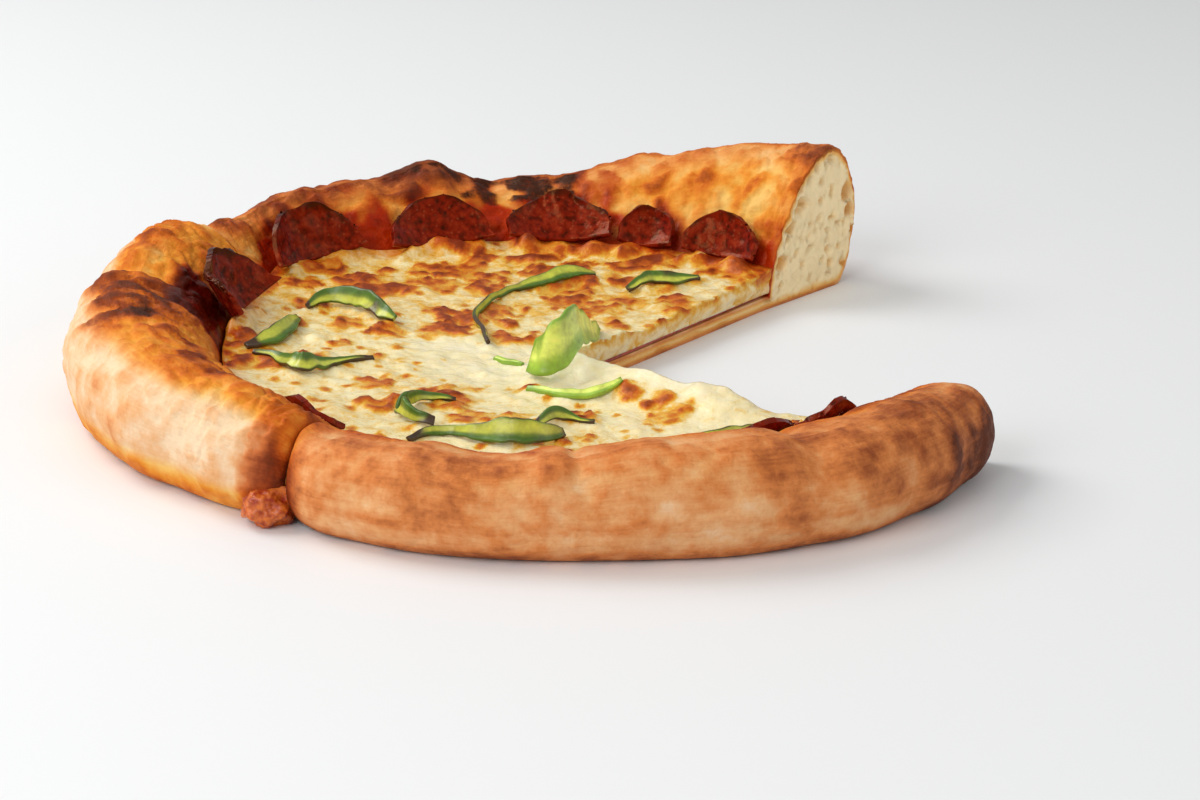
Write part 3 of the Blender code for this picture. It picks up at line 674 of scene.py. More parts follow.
def browned_cheese(look):
    """Melted mozzarella, oven-browned: cream and slightly see-through, with toasted skin on its blisters.

    The eye sees a soft oily sheen, cream to yellow between the blisters, and crisp-edged orange to brown
    patches a few millimetres wide with yellow round them.
    """
    material, tree, shader = new_material("browned_mozzarella")
    place = add(tree, "TexCoord", output="Object")
    toast, oil = (add(tree, "Attribute", output="Fac", attribute_name=mask) for mask in ("toast", "oil"))
    # Toasted edges break up at 2 mm and 0.7 mm
    ragged = add(tree, "TexNoise", {"Vector": place, "Scale": 420.0, "Detail": 5.0})
    fine = add(tree, "TexNoise", {"Vector": place, "Scale": 1300.0, "Detail": 3.0})
    edge = toast
    for pattern, share in ((ragged, 0.4), (fine, 0.18)):
        edge = add(tree, "Math", {0: pattern, 1: share, 2: edge}, operation="MULTIPLY_ADD")
    edge = add(tree, "Math", {0: edge, 1: 0.29}, operation="SUBTRACT")
    browning = (
        (0.0, look.cheese_white), (0.25, look.cheese_cream), (0.42, look.cheese_yellow),
        (0.54, look.cheese_gold), (0.68, look.cheese_toast), (0.92, look.cheese_burnt),
    )
    colour = add(tree, "ValToRGB", {"Fac": edge}, stops=browning)
    oiled = add(
        tree, "Mix", {"Factor": oil, ONE: colour, OTHER: (*look.oil_tint, 1)}, MIXED, data_type="RGBA",
        blend_type="MULTIPLY",
    )
    dull = {"Value": edge, "From Min": 0.4, "From Max": 0.8, "To Min": 0.22, "To Max": 0.42}
    bumps = add(tree, "Bump", {"Height": ragged, "Strength": 0.5, "Distance": 0.0009})
    bumps = add(tree, "Bump", {"Height": fine, "Strength": 0.35, "Distance": 0.0003, "Normal": bumps})
    feed(tree, shader, {
        "Base Color": oiled,
        "Roughness": add(tree, "MapRange", dull, clamp=True),
        "Normal": bumps,
        "Specular IOR Level": 0.3,
        "Specular Tint": (*linear("#FFDDAA"), 1),
        "Subsurface Weight": 0.12,
        "Subsurface Radius": (1.0, 0.7, 0.4),
        "Subsurface Scale": 0.003,
    })
    return material


def cured_pepperoni(look):
    """Dry-cured pepperoni, baked: dark red meat with pale fat flecks, an oily gloss, and scorched edges."""
    material, tree, shader = new_material("cured_pepperoni")
    place = add(tree, "TexCoord", output="Object")
    scorch = add(tree, "Attribute", output="Fac", attribute_name="scorch")
    # Meat grain 2.5 mm and fat flecks about 1 mm across
    meat = add(tree, "TexNoise", {"Vector": place, "Scale": 400.0, "Detail": 3.0})
    fleck = add(tree, "TexVoronoi", {"Vector": place, "Scale": 420.0})
    flecks = {"Value": fleck, "From Min": 0.1, "From Max": 0.26, "To Min": 0.35, "To Max": 0.0}
    fat = add(tree, "MapRange", flecks, clamp=True)
    grain = ((0.3, look.meat_dark), (0.52, look.meat_red), (0.75, look.meat_light))
    red = add(tree, "ValToRGB", {"Fac": meat}, stops=grain)
    flecked = add(tree, "Mix", {"Factor": fat, ONE: red, OTHER: (*look.fat, 1)}, MIXED, data_type="RGBA")
    burnt = add(tree, "Math", {0: meat, 1: 0.7, 2: scorch}, operation="MULTIPLY_ADD")
    burnt = add(tree, "MapRange", {"Value": burnt, "From Min": 0.65, "From Max": 1.3}, clamp=True)
    charred = {"Factor": burnt, ONE: flecked, OTHER: (*look.meat_char, 1)}
    feed(tree, shader, {
        "Base Color": add(tree, "Mix", charred, MIXED, data_type="RGBA"),
        "Roughness": 0.24,
        "Normal": add(tree, "Bump", {"Height": meat, "Strength": 0.6, "Distance": 0.0005}),
        "Specular IOR Level": 0.3,
        "Specular Tint": (*linear("#FFB070"), 1),
        "Subsurface Weight": 0.05,
        "Subsurface Radius": (1.0, 0.2, 0.1),
        "Subsurface Scale": 0.001,
    })
    return material


def green_pepper(name, flesh, skin, edge_colour, roughness):
    """Baked green pepper: moist pale flesh inside, smooth darker skin outside, dark dried edges."""
    material, tree, shader = new_material(name)
    place = add(tree, "TexCoord", output="Object")
    side, dry = (add(tree, "Attribute", output="Fac", attribute_name=mask) for mask in ("skin", "dry"))
    # Grain of the flesh 1.4 mm wide, and paler patches 5 mm wide
    grain = add(tree, "TexNoise", {"Vector": place, "Scale": 700.0, "Detail": 4.0})
    patches = add(tree, "TexNoise", {"Vector": place, "Scale": 180.0, "Detail": 3.0})
    shade = add(tree, "Math", {0: grain, 1: 0.5, 2: patches}, operation="MULTIPLY_ADD")
    brightness = {"Value": shade, "From Min": 0.4, "From Max": 1.1, "To Min": 0.6, "To Max": 1.45}
    shade = add(tree, "MapRange", brightness)
    base = {"Factor": side, ONE: (*flesh, 1), OTHER: (*skin, 1)}
    base = add(tree, "Mix", base, MIXED, data_type="RGBA")
    base = add(tree, "VectorMath", {0: base, "Scale": shade}, operation="SCALE")
    dried = add(tree, "Math", {0: grain, 1: 0.6, 2: dry}, operation="MULTIPLY_ADD")
    dried = add(tree, "MapRange", {"Value": dried, "From Min": 0.6, "From Max": 1.1}, clamp=True)
    edged = {"Factor": dried, ONE: base, OTHER: (*edge_colour, 1)}
    feed(tree, shader, {
        "Base Color": add(tree, "Mix", edged, MIXED, data_type="RGBA"),
        "Roughness": roughness,
        "Normal": add(tree, "Bump", {"Height": grain, "Strength": 0.3, "Distance": 0.0004}),
        "Subsurface Weight": 0.12,
        "Subsurface Radius": (0.5, 1.0, 0.2),
        "Subsurface Scale": 0.001,
    })
    return material


def cooked_tomato(name, colour, dark, roughness):
    """Cooked tomato: moist, orange-red, with darker pulp 2 mm wide."""
    material, tree, shader = new_material(name)
    place = add(tree, "TexCoord", output="Object")
    pulp = add(tree, "TexNoise", {"Vector": place, "Scale": 450.0, "Detail": 4.0})
    feed(tree, shader, {
        "Base Color": add(tree, "ValToRGB", {"Fac": pulp}, stops=((0.35, dark), (0.65, colour))),
        "Roughness": roughness,
        "Normal": add(tree, "Bump", {"Height": pulp, "Strength": 0.5, "Distance": 0.0008}),
    })
    return material


# Browning

# Where the oven and the filling left their marks, and where shade is painted: (from, to) in degrees round
# the rim
BACK, LEFT, FRONT = (50, 149), (155, 236), (242, 340)
TUCK_AT = 273
FRONT_DARKENS_FROM = 288
# Painted shade darkens the front rim from here to its right end
SHADED_RIGHT_END_FROM = 306
BROWN_FOLD = (180, 198)
SEAM_END = (237, 239)
# A dark patch of painted shade low on the left inner wall
PAINTED_SHADE_RUN = (171, 187)
TOASTED_INSIDE = (186, 232)
BROWN_HUMP = (104, 118)
PALE_INSIDE = (56, 101)
CHARRED_INSIDE = (90, 107)
CHARRED_LIP = (108, 113)
BURNT_CREVICE = (192, 199)
# Partly oil, partly painted shade between the back pepperoni
OILY_AND_SHADED_INSIDE = (84, 146)

# The way over the rim, in stretches: foot, shoulder and slope, and the radius of the way round it
FOOT_WAY, SHOULDER_WAY, SLOPE_WAY = 22.0, 30.0, 46.0
WAY_ROUND = 150.0

# How far apart the crust's pebbles, the crumb's holes and the cheese's bubbles lie
PEBBLES, SMALL_PEBBLES = 9.5, 3.6
BIG_HOLES, MIDDLE_HOLES, TINY_HOLES = 12.0, 4.0, 2.3
BUBBLE_CLUMPS, LARGE_BUBBLES, SMALL_BUBBLES = 17.0, 7.5, 3.8

# How deep the crumb's holes are
BIG_DEPTH, MIDDLE_DEPTH, TINY_DEPTH = 6.0, 2.6, 0.9

# Where the cheese only melted: (x, y, half width, half depth, how plain)
PLAIN_CHEESE = ((12, -20, 34, 19, 1.0), (40, -44, 20, 12, 0.8), (-30, 4, 26, 6, 0.7))


def crust_looks(points, turned, rim, kind, share, rise):
    """The crust's fine relief outwards, and its masks. The last two tell how far round and over the rim."""
    height = points[:, 2]
    arc = np.radians(turned) * WAY_ROUND
    up = height / rim.height
    on_slope = kind == SLOPE
    outside = (kind == FOOT) | (kind == SHOULDER)
    # Distance over the rim, from the foot outside to the cheese inside
    over = np.where(kind == SHOULDER, FOOT_WAY + share * SHOULDER_WAY, share * FOOT_WAY)
    over = np.where(on_slope, FOOT_WAY + SHOULDER_WAY + share * SLOPE_WAY, over)
    drift = np.stack([lumps(points, 13.0, shift) for shift in (41.0, 47.0, 53.0)], axis=-1)
    bent = points + 5.0 * drift
    broad = lumps(bent, 27.0, 3.0)
    middle = lumps(bent, 9.5, 9.0)
    fine = lumps(points, 4.2, 1.0)
    grain = lumps(points, 2.3, 5.0)
    laid = in_plane(arc, over)
    stretch = lumps(laid / np.array([17.0, 2.0, 1.0]) + 2.0, 1.0)
    across = np.abs(lumps((laid + 4 * drift) / np.array([8.0, 26.0, 1.0]) + 6.0, 1.0))
    crease = np.clip(1 - 4.5 * across, 0, 1) ** 2
    along_rim = np.abs(lumps((laid + 6 * drift) / np.array([38.0, 11.0, 1.0]) + 14.0, 1.0))
    fold_line = np.clip(1 - 5.5 * along_rim, 0, 1) ** 2
    seeds, second = crackle(bent, PEBBLES)
    pebble = smooth(np.clip(second - seeds, 0, 1) * 1.9)
    small_seeds, small_second = crackle(points, SMALL_PEBBLES, 5.0)
    small_pebble = smooth(np.clip(small_second - small_seeds, 0, 1) * 2.4)

    back = window(turned, *BACK, 3)
    left = window(turned, *LEFT, 3)
    front = window(turned, *FRONT, 3)
    topness = smooth((up - 0.55) / 0.35)
    inner_wall = on_slope * smooth((share - 0.1) / 0.25)
    left_top = left * np.maximum(topness, on_slope * 1.0)

    relief = 0.42 * middle + 0.26 * fine + 0.12 * grain + 0.12 * stretch * outside
    relief += back * on_slope * (1.1 * (pebble - 0.62) + 0.3 * (small_pebble - 0.6) - 0.8 * crease)
    relief += back * outside * (0.6 * (pebble - 0.62) - 0.4 * fold_line)
    relief += left_top * (0.9 * (pebble - 0.62) + 0.12 * (small_pebble - 0.6) - 1.3 * crease)
    relief += left * outside * (0.35 * middle - 0.7 * fold_line * smooth(0.5 + 2 * broad))
    relief += front * (-0.55 * fold_line * smooth(0.3 + 2 * broad) - 0.35 * crease * topness)
    tuck = (turned - TUCK_AT - 4 * (1 - up) * np.where(on_slope, -1, 1) - 0.8 * middle) / 1.1
    relief -= 1.3 * np.exp(-tuck * tuck) * smooth((up - 0.55) / 0.3)

    calm = 1 - 0.42 * front
    tone = 0.42 + calm * (0.2 * broad + 0.2 * middle) + 0.11 * fine + 0.09 * grain + 0.05 * stretch * outside
    tone += 0.07 * rise + 0.1 * relief
    # Painted shade: the right end of the front rim is darker, most on its lower outside, as if turned from
    # the lights
    shaded_right_end = smooth((turned - SHADED_RIGHT_END_FROM) / 24)
    shaded_right_end *= 0.08 + 0.5 * outside * smooth((1.0 - up) / 0.4) * (1 + 0.6 * middle)
    tone += front * (0.08 * outside + 0.06 * topness + shaded_right_end)
    tone += 0.07 * front * smooth((turned - FRONT_DARKENS_FROM) / 10) * (1 + 1.2 * middle)
    # Darker at the very foot; the lighter band just above it is a painted highlight
    tone += front * outside * (0.16 * smooth((0.16 - up) / 0.1) - 0.1 * window(up, 0.2, 0.3, 0.08))
    flour = outside * window(up, 0.26, 0.86, 0.14)
    tone -= left * flour * (0.24 * smooth(0.75 + broad) + 0.06)
    tone += left * (0.08 * topness * (1 - flour) + 0.02 * on_slope)
    tone += 0.36 * window(turned, *BROWN_FOLD, 4) * smooth((up - 0.8) / 0.1) * (0.85 + 0.7 * middle)
    # Along the front seam, most at its foot: partly browned crust, partly painted shade in the seam between
    # the slices
    low_end = window(turned, *SEAM_END, 3.8) * (0.45 + 0.55 * smooth((0.85 - up) / 0.25))
    tone += 0.52 * low_end * (kind != UNDER)
    # Painted shade: a dark, wet-looking patch low on the left inner wall, in place of the shade round the
    # pepperoni there
    stain_and_shade = window(turned, *PAINTED_SHADE_RUN, 3) * window(share, 0.38, 1.0, 0.12) * on_slope
    tone += 0.5 * stain_and_shade
    toasted = window(turned, *TOASTED_INSIDE, 8) * on_slope * window(share, 0.12, 0.3, 0.1)
    tone += 0.26 * toasted * smooth(0.3 + middle)
    pale_patch = window(up, 0.5, 0.85, 0.12) * smooth(0.5 + 1.4 * lumps(bent, 19.0, 71.0))
    tone -= front * outside * 0.14 * pale_patch
    tone += back * (0.05 * on_slope + 0.26 * topness * (1 - 0.5 * inner_wall))
    tone += 0.26 * window(turned, *BROWN_HUMP, 5) * smooth((up - 0.75) / 0.15)
    pale_slope = window(turned, *PALE_INSIDE, 4) * on_slope * smooth((up - 0.4) / 0.2)
    tone -= 0.24 * pale_slope * smooth(0.8 - middle)
    tone = np.where(kind == UNDER, 0.62 + 0.25 * middle, tone)

    gold = 0.1 * outside + 0.95 * inner_wall + 0.6 * topness * (1 - inner_wall) * (1 - front)
    gold += left * (0.9 * outside * smooth((0.4 - up) / 0.2) + 0.4 * topness)
    gold += 0.22 * front * topness + 0.8 * low_end
    gold = np.clip((gold + 0.2 * middle) * (1 - 0.9 * left * flour * smooth((up - 0.25) / 0.2)), 0, 1)

    scorched = window(turned, *CHARRED_INSIDE, 3) * window(share, 0.0, 0.3, 0.12) * on_slope
    scorched += window(turned, *CHARRED_LIP, 2) * window(share, 0.0, 0.08, 0.08) * on_slope
    char = smooth((scorched * (0.66 + 0.8 * middle + 0.6 * fine + 0.2 * (pebble - 0.5)) - 0.25) / 0.55)
    scatter = smooth((middle * 0.6 + fine * 0.8 - 0.5) / 0.2) * (back * topness + 0.3 * left_top * on_slope)
    crevice = window(turned, *BURNT_CREVICE, 2) * window(share, 0.06, 0.16, 0.05) * on_slope
    char = np.clip(0.88 * char + 0.35 * scatter + 0.8 * crevice * smooth((middle + 0.3) / 0.3), 0, 1)

    # How wet the crust looks: oil and tomato low on the inner wall, with painted shade at the seam, between
    # the back pepperoni and on the left inner wall
    wet = on_slope * smooth((29 + 8 * middle + 4 * fine - height) / 12) * (0.5 + 0.5 * back)
    # Between the back pepperoni: partly oil and tomato, partly painted shade
    wet += 0.55 * window(turned, *OILY_AND_SHADED_INSIDE, 5) * on_slope * smooth((middle + 0.5 * broad + 0.25) / 0.4)
    wet = np.clip(wet + 0.5 * low_end * outside + stain_and_shade, 0, 1)
    keep = np.where(outside | on_slope, smooth((height - 0.4) / 4), 0.0)
    keep = keep * np.where(on_slope, smooth((height - 14.0) / 4), 1.0)
    masks = {
        "tone": np.clip(tone, 0, 1), "gold": gold, "char": char, "wet": wet,
        "around": arc * MM, "over": over * MM,
    }
    return relief * keep, masks


def section_stations():
    """(kind, share) round a slice's section, and those of its lower and upper side from apex to widest."""
    upper = [(UPPER, k / UPPER_STATIONS) for k in range(UPPER_STATIONS)]
    upper += [(SLOPE, 1 - k / SLOPE_STATIONS) for k in range(SLOPE_STATIONS)]
    upper += [(SHOULDER, 1 - k / SHOULDER_STATIONS) for k in range(SHOULDER_STATIONS)]
    flat = len(upper) - FOOT_STATIONS
    inner_share = 0.76
    lower = [(UNDER, inner_share * k / UPPER_STATIONS) for k in range(UPPER_STATIONS)]
    rest = flat - UPPER_STATIONS
    lower += [(UNDER, inner_share + (1 - inner_share) * k / rest) for k in range(rest)]
    lower += [(FOOT, k / FOOT_STATIONS) for k in range(FOOT_STATIONS)]
    widest = (SHOULDER, 0.0)
    core = [(CORE, 1 - k / FACE_ROWS) for k in range(1, FACE_ROWS)]
    ring = [*lower, widest, *reversed(upper), *core]
    return ring, [*lower, widest], [*upper, widest]


def kinds_and_shares(chain):
    return np.array([kind for kind, _ in chain]), np.array([share for _, share in chain])


def crumb_face(lower, upper, up, inwards, seed):
    """Air holes of a cut face: how far each point lies in from it, and how much of it is crumb, less in the
    holes as painted shade.
    """
    thickness = lengths(upper - lower)
    flat = lower + (upper - lower) * up[:, None]
    skin = np.minimum(up, 1 - up) * thickness
    depth_in = smooth((skin - 0.6) / 1.8)
    plane = np.stack([np.hypot(flat[:, 0], flat[:, 1]), flat[:, 2] * 1.25, 0 * up + seed], axis=-1)
    bend = in_plane(lumps(plane, 6.0, 31.0), lumps(plane, 6.0, 37.0)) * 3.5
    big, big_own = cells(plane + bend, BIG_HOLES)
    small, own = cells(plane + 0.5 * bend, MIDDLE_HOLES, 4.0)
    tiny, tiny_own = cells(plane, TINY_HOLES, 8.0)
    hole = BIG_DEPTH * (big_own > 0.55) * smooth((0.42 - big) / 0.16) * smooth((skin - 3.0) / 3.0)
    middle_holes = MIDDLE_DEPTH * (own > 0.6) * smooth((0.46 - small) / 0.22)
    hole += middle_holes + TINY_DEPTH * tiny_own * smooth((0.5 - tiny) / 0.3)
    hole += 0.8 * lumps(plane, 5.5, 7.0) + 0.4 * lumps(plane, 2.0, 11.0)
    points = flat + inwards * (hole * depth_in)[:, None]
    # Painted shade in the holes: the deeper a hole, the less crumb colour it keeps, so it turns to crumb
    # shade and gold; the noise adds uneven tone
    tone_and_hole_shade = 0.16 * np.clip(hole, 0, 3) + 0.3 * lumps(plane, 7.0, 2.0)
    return points, np.clip(smooth((skin - 0.6) / 4.2) - tone_and_hole_shade * smooth((skin - 1.5) / 2), 0, 1)


def dough_slice(start, end, look):
    """One slice of dough between two cuts, with its masks."""
    ring, lower, upper = section_stations()
    steps = round((end - start) / DOUGH_STEP)
    mesh, station, angle = spun_tube(len(ring), start, end, steps, END_CROWDING)
    between = math.radians(end - start) / 2
    away = polar((start + end) / 2, KNIFE_GAP / 2 / math.sin(between), 0.0)
    kinds, shares = kinds_and_shares(ring)

    def skin(at_angle, kind, share):
        points, outwards, turned, rim, rise = crust_points(at_angle, kind, share)
        relief, masks = crust_looks(points, turned, rim, kind, share, rise)
        points = points + outwards * (relief * look.crust_relief)[:, None]
        points[:, 2] = np.clip(points[:, 2], 0, None)
        return points + away, masks

    points, masks = skin(angle, kinds[station], shares[station])
    masks["crumb"] = np.zeros(len(points))
    for cut, towards in ((start, 1), (end, -1)):
        column, up = end_face(mesh, len(lower), FACE_ROWS)
        (low, low_masks), (high, high_masks) = (
            skin(np.full(len(chain), float(cut)), *kinds_and_shares(chain)) for chain in (lower, upper)
        )
        inwards = polar(cut + 90.0 * towards, 1.0, 0.0)
        face, crumb = crumb_face(low[column], high[column], up, inwards, cut)
        points = np.concatenate([points, face])
        for key in low_masks:
            mixed = low_masks[key][column] * (1 - up) + high_masks[key][column] * up
            masks[key] = np.concatenate([masks[key], mixed])
        masks["crumb"] = np.concatenate([masks["crumb"], crumb])
    move_corners(mesh, points)
    set_masks(mesh, masks)
    return mesh


def cheese_bubbles(flat, edge):
    """How browned the cheese's top is at each place, from 0 to 1, and how far its bubbles have risen."""
    drift = in_plane(lumps(flat, 8.0, 11.0), lumps(flat, 8.0, 17.0))
    broad = lumps(flat, 30.0, 13.0)
    x, y = flat[:, 0], flat[:, 1]
    plain = sum(
        much * np.exp(-(((x - px) / wide) ** 2 + ((y - py) / deep) ** 2))
        for px, py, wide, deep, much in PLAIN_CHEESE
    )
    far = smooth((y + 20) / 90)
    more = 0.02 + 0.1 * far + 0.08 * smooth((12 - edge) / 10)
    clump, size = cells(flat + 5.0 * drift, BUBBLE_CLUMPS, 30.0)
    reach = 0.24 + 0.24 * size + 0.17 * lumps(flat, 7.5, 5.0) + 0.1 * lumps(flat, 3.4, 6.0) - clump
    reach += 0.06 * broad + more - 0.35 * plain
    group, halo = smooth((reach + 0.04) / 0.12), smooth((reach + 0.2) / 0.3)
    large, large_own = cells(flat + 2.2 * drift, LARGE_BUBBLES)
    small, small_own = cells(flat + 1.2 * drift, SMALL_BUBBLES, 9.0)
    large = np.clip(1 - (large / 0.66) ** 2, 0, 1) * smooth((large_own + 0.1) / 0.3)
    small = np.clip(1 - (small / 0.6) ** 2, 0, 1) * smooth((small_own - 0.2) / 0.2)
    lone = 0.42 * small * (small_own > 0.88) * (1 - np.clip(plain, 0, 1))
    toast = 0.24 + 0.08 * far + 0.03 * smooth((-x - 30) / 40) + 0.1 * broad + 0.09 * lumps(flat, 5.0, 27.0)
    toast += 0.2 * halo - 0.28 * plain + group * (0.4 * large + 0.34 * small) + lone * (1 - group)
    rise = large * (0.3 + 0.7 * group) + 0.5 * small * (0.2 + 0.8 * group) + 0.25 * group
    return np.clip(toast, 0, 1), rise


def cheese_sheet(look):
    """The cheese over all three slices, run together over the knife's cuts, with its masks."""
    low = BASE_THICKNESS + SAUCE_THICKNESS + 2 * LAYER_GAP
    top_height = CHEESE_NEAR_RIM + CHEESE_CLIMB
    count = CHEESE_STATIONS
    above = [("above", k / count) for k in range(count)] + [("edge", 1.0)]
    below = [("below", k / count) for k in range(count)] + [("edge", 0.0)]
    rim_side = [("edge", 1 - k / CHEESE_EDGE_ROWS) for k in range(1, CHEESE_EDGE_ROWS)]
    core = [("core", k / CHEESE_EDGE_ROWS) for k in range(1, CHEESE_EDGE_ROWS)]
    ring = [*above, *rim_side, *reversed(below), *core]
    mesh, station, angle = spun_tube(len(ring), GAP_FAR, GAP_NEAR, CHEESE_RINGS)

    def place(at_angle, part, share):
        points = np.zeros((len(share), 3))
        masks = {"toast": np.zeros(len(share)), "oil": np.zeros(len(share))}
        edge = part == "edge"
        height = low + (top_height - low) * share[edge]
        turned = along_cut(at_angle[edge], Rim(at_angle[edge]).wall_radius(height))
        points[edge] = polar(turned, Rim(turned).wall_radius(height) - WALL_GAP, height)
        masks["oil"][edge] = 0.6
        masks["toast"][edge] = 0.5
        under = part == "below"
        turned = along_cut(at_angle[under], share[under] * Rim(at_angle[under]).inner)
        points[under] = towards_meeting(polar(turned, share[under] * Rim(turned).inner, low + 0 * turned))
        over = part == "above"
        turned = along_cut(at_angle[over], share[over] * Rim(at_angle[over]).inner)
        rim = Rim(turned)
        reach = rim.wall_radius(top_height) - WALL_GAP
        flat = towards_meeting(polar(turned, share[over] * reach, 0 * turned))
        from_wall = (1 - share[over]) * reach
        toast, bubbles = cheese_bubbles(flat, from_wall)
        skin = smooth(from_wall / 5)
        small = 0.5 * lumps(flat, 6.0, 35.0) + 0.34 * lumps(flat, 3.4, 31.0)
        raised = look.toast_rise / MM * bubbles
        climb = climbing_cheese(flat, from_wall)
        height = cheese_height(flat[:, 0], flat[:, 1])
        flat[:, 2] = height + skin * (small + raised) + climb + pepper_bed(flat)
        points[over] = flat
        masks["toast"][over] = toast
        masks["oil"][over] = cheese_oil(flat, from_wall)
        middle = part == "core"
        apex = cheese_height(CUTS_MEET[0], CUTS_MEET[1])[0]
        points[middle] = CUTS_MEET + np.outer(low + (apex - low) * share[middle], (0, 0, 1))
        return points, masks

    parts, shares = kinds_and_shares(ring)
    points, masks = place(angle, parts[station], shares[station])
    for cut, towards in OPEN_CUTS:
        column, up = end_face(mesh, len(above), CHEESE_EDGE_ROWS)
        (under, _), (over, over_masks) = (
            place(np.full(len(chain), float(cut)), *kinds_and_shares(chain)) for chain in (below, above)
        )
        face = under[column] * (1 - up[:, None]) + over[column] * up[:, None]
        outwards = polar(cut + 90.0 * towards, 1.0, 0.0)
        inner = (up > 0) & (up < 1)
        sag = 0.8 * lumps(face, 5.0, 3.0) + 0.4 * lumps(face, 2.2, 6.0)
        face = face + outwards * (inner * np.sin(np.pi * up) * sag)[:, None]
        points = np.concatenate([points, face])
        drips = 0.3 + 0.28 * lumps(face, 5.5, 83.0) + 0.15 * lumps(face, 2.4, 87.0)
        drips = np.clip(drips + over_masks["toast"][column] * up**3 * 0.5, 0, 1)
        masks["toast"] = np.concatenate([masks["toast"], drips])
        masks["oil"] = np.concatenate([masks["oil"], 0.15 + over_masks["oil"][column] * 0.5])
    for cut, towards in OPEN_CUTS:
        on_skin = np.abs(angle - cut) < ON_CUT_WITHIN
        on_cut = np.concatenate([on_skin, np.zeros(len(points) - len(angle), bool)])
        first = len(angle) + (0 if cut == GAP_FAR else len(column))
        on_cut[first : first + len(column)] = True
        points[on_cut] += overhang(points[on_cut], cut, towards)
    move_corners(mesh, points)
    set_masks(mesh, masks)
    return mesh


def pepperoni_frame(angle):
    """The line from toe to crest on which a pepperoni leans: its toe, its way up, and its way inwards."""
    rim = Rim(np.array([angle]))
    samples = Rim(np.full(SLOPE_SAMPLES, angle))
    radius, height = samples.slope_point(np.linspace(0, 1, SLOPE_SAMPLES))
    spot = int(np.argmax(height <= CHEESE_NEAR_RIM + CHEESE_CLIMB + PEPPERONI_TOE))
    toe = np.array([radius[spot], height[spot]])
    high = rim.slope_point(PEPPERONI_LEANS_AT)
    up = np.array([high[0][0], high[1][0]]) - toe
    up /= np.linalg.norm(up)
    return toe, up, np.array([-up[1], up[0]])


def across_pepperoni(flat):
    """How far each place lies to the side of each pepperoni's middle, in disc radii."""
    angle = bearing(flat[:, 0], flat[:, 1])
    for _, where, disc, *_ in PEPPERONI:
        yield (angle - where) * math.radians(1) * PEPPERONI_STANDS_AT / disc


def climbing_cheese(flat, from_wall):
    """How far the cheese has climbed on the feet of the pepperoni."""
    climb = np.zeros(len(flat))
    for across in across_pepperoni(flat):
        across = np.clip(across, -2, 2)
        climb += np.exp(-(across**6)) * window(from_wall, 2.0, 6.5 + 3.5 * across**2, 2.5)
    wave = np.clip(0.7 + 1.3 * lumps(flat, 9.0, 61.0) + 0.3 * lumps(flat, 3.5, 67.0), 0, 1.8)
    return CLIMB_ON_PEPPERONI * np.clip(climb, 0, 1) * wave


def pepper_bed(flat):
    """How far the cheese has risen round the pepper strips, which have sunk into it."""
    bed = np.zeros(len(flat))
    for points in PEPPERS.values():
        spots = np.array([ribbon_point(points, s) for s in np.linspace(0, 1, 8 * len(points))])
        half = spots[:, 3] * np.abs(np.cos(np.radians(spots[:, 4])))
        away = np.hypot(flat[:, 0, None] - spots[:, 0], flat[:, 1, None] - spots[:, 1])
        near = np.min(away - half, axis=1)
        bed = np.maximum(bed, smooth((BED_WIDTH - near) / BED_WIDTH))
    return BED_RISE * bed * (1 + 0.5 * lumps(flat, 5.0, 73.0))


def cheese_oil(flat, from_wall):
    """Orange oil: along the wall, and where pepperoni stands in the cheese."""
    oil = 0.06 + 0.6 * smooth((8 - from_wall) / 8)
    for across in across_pepperoni(flat):
        oil += 0.5 * np.exp(-(across**4)) * smooth((13 - from_wall) / 10)
    return np.clip(oil * (0.75 + 0.5 * lumps(flat, 6.0, 19.0)), 0, 1)


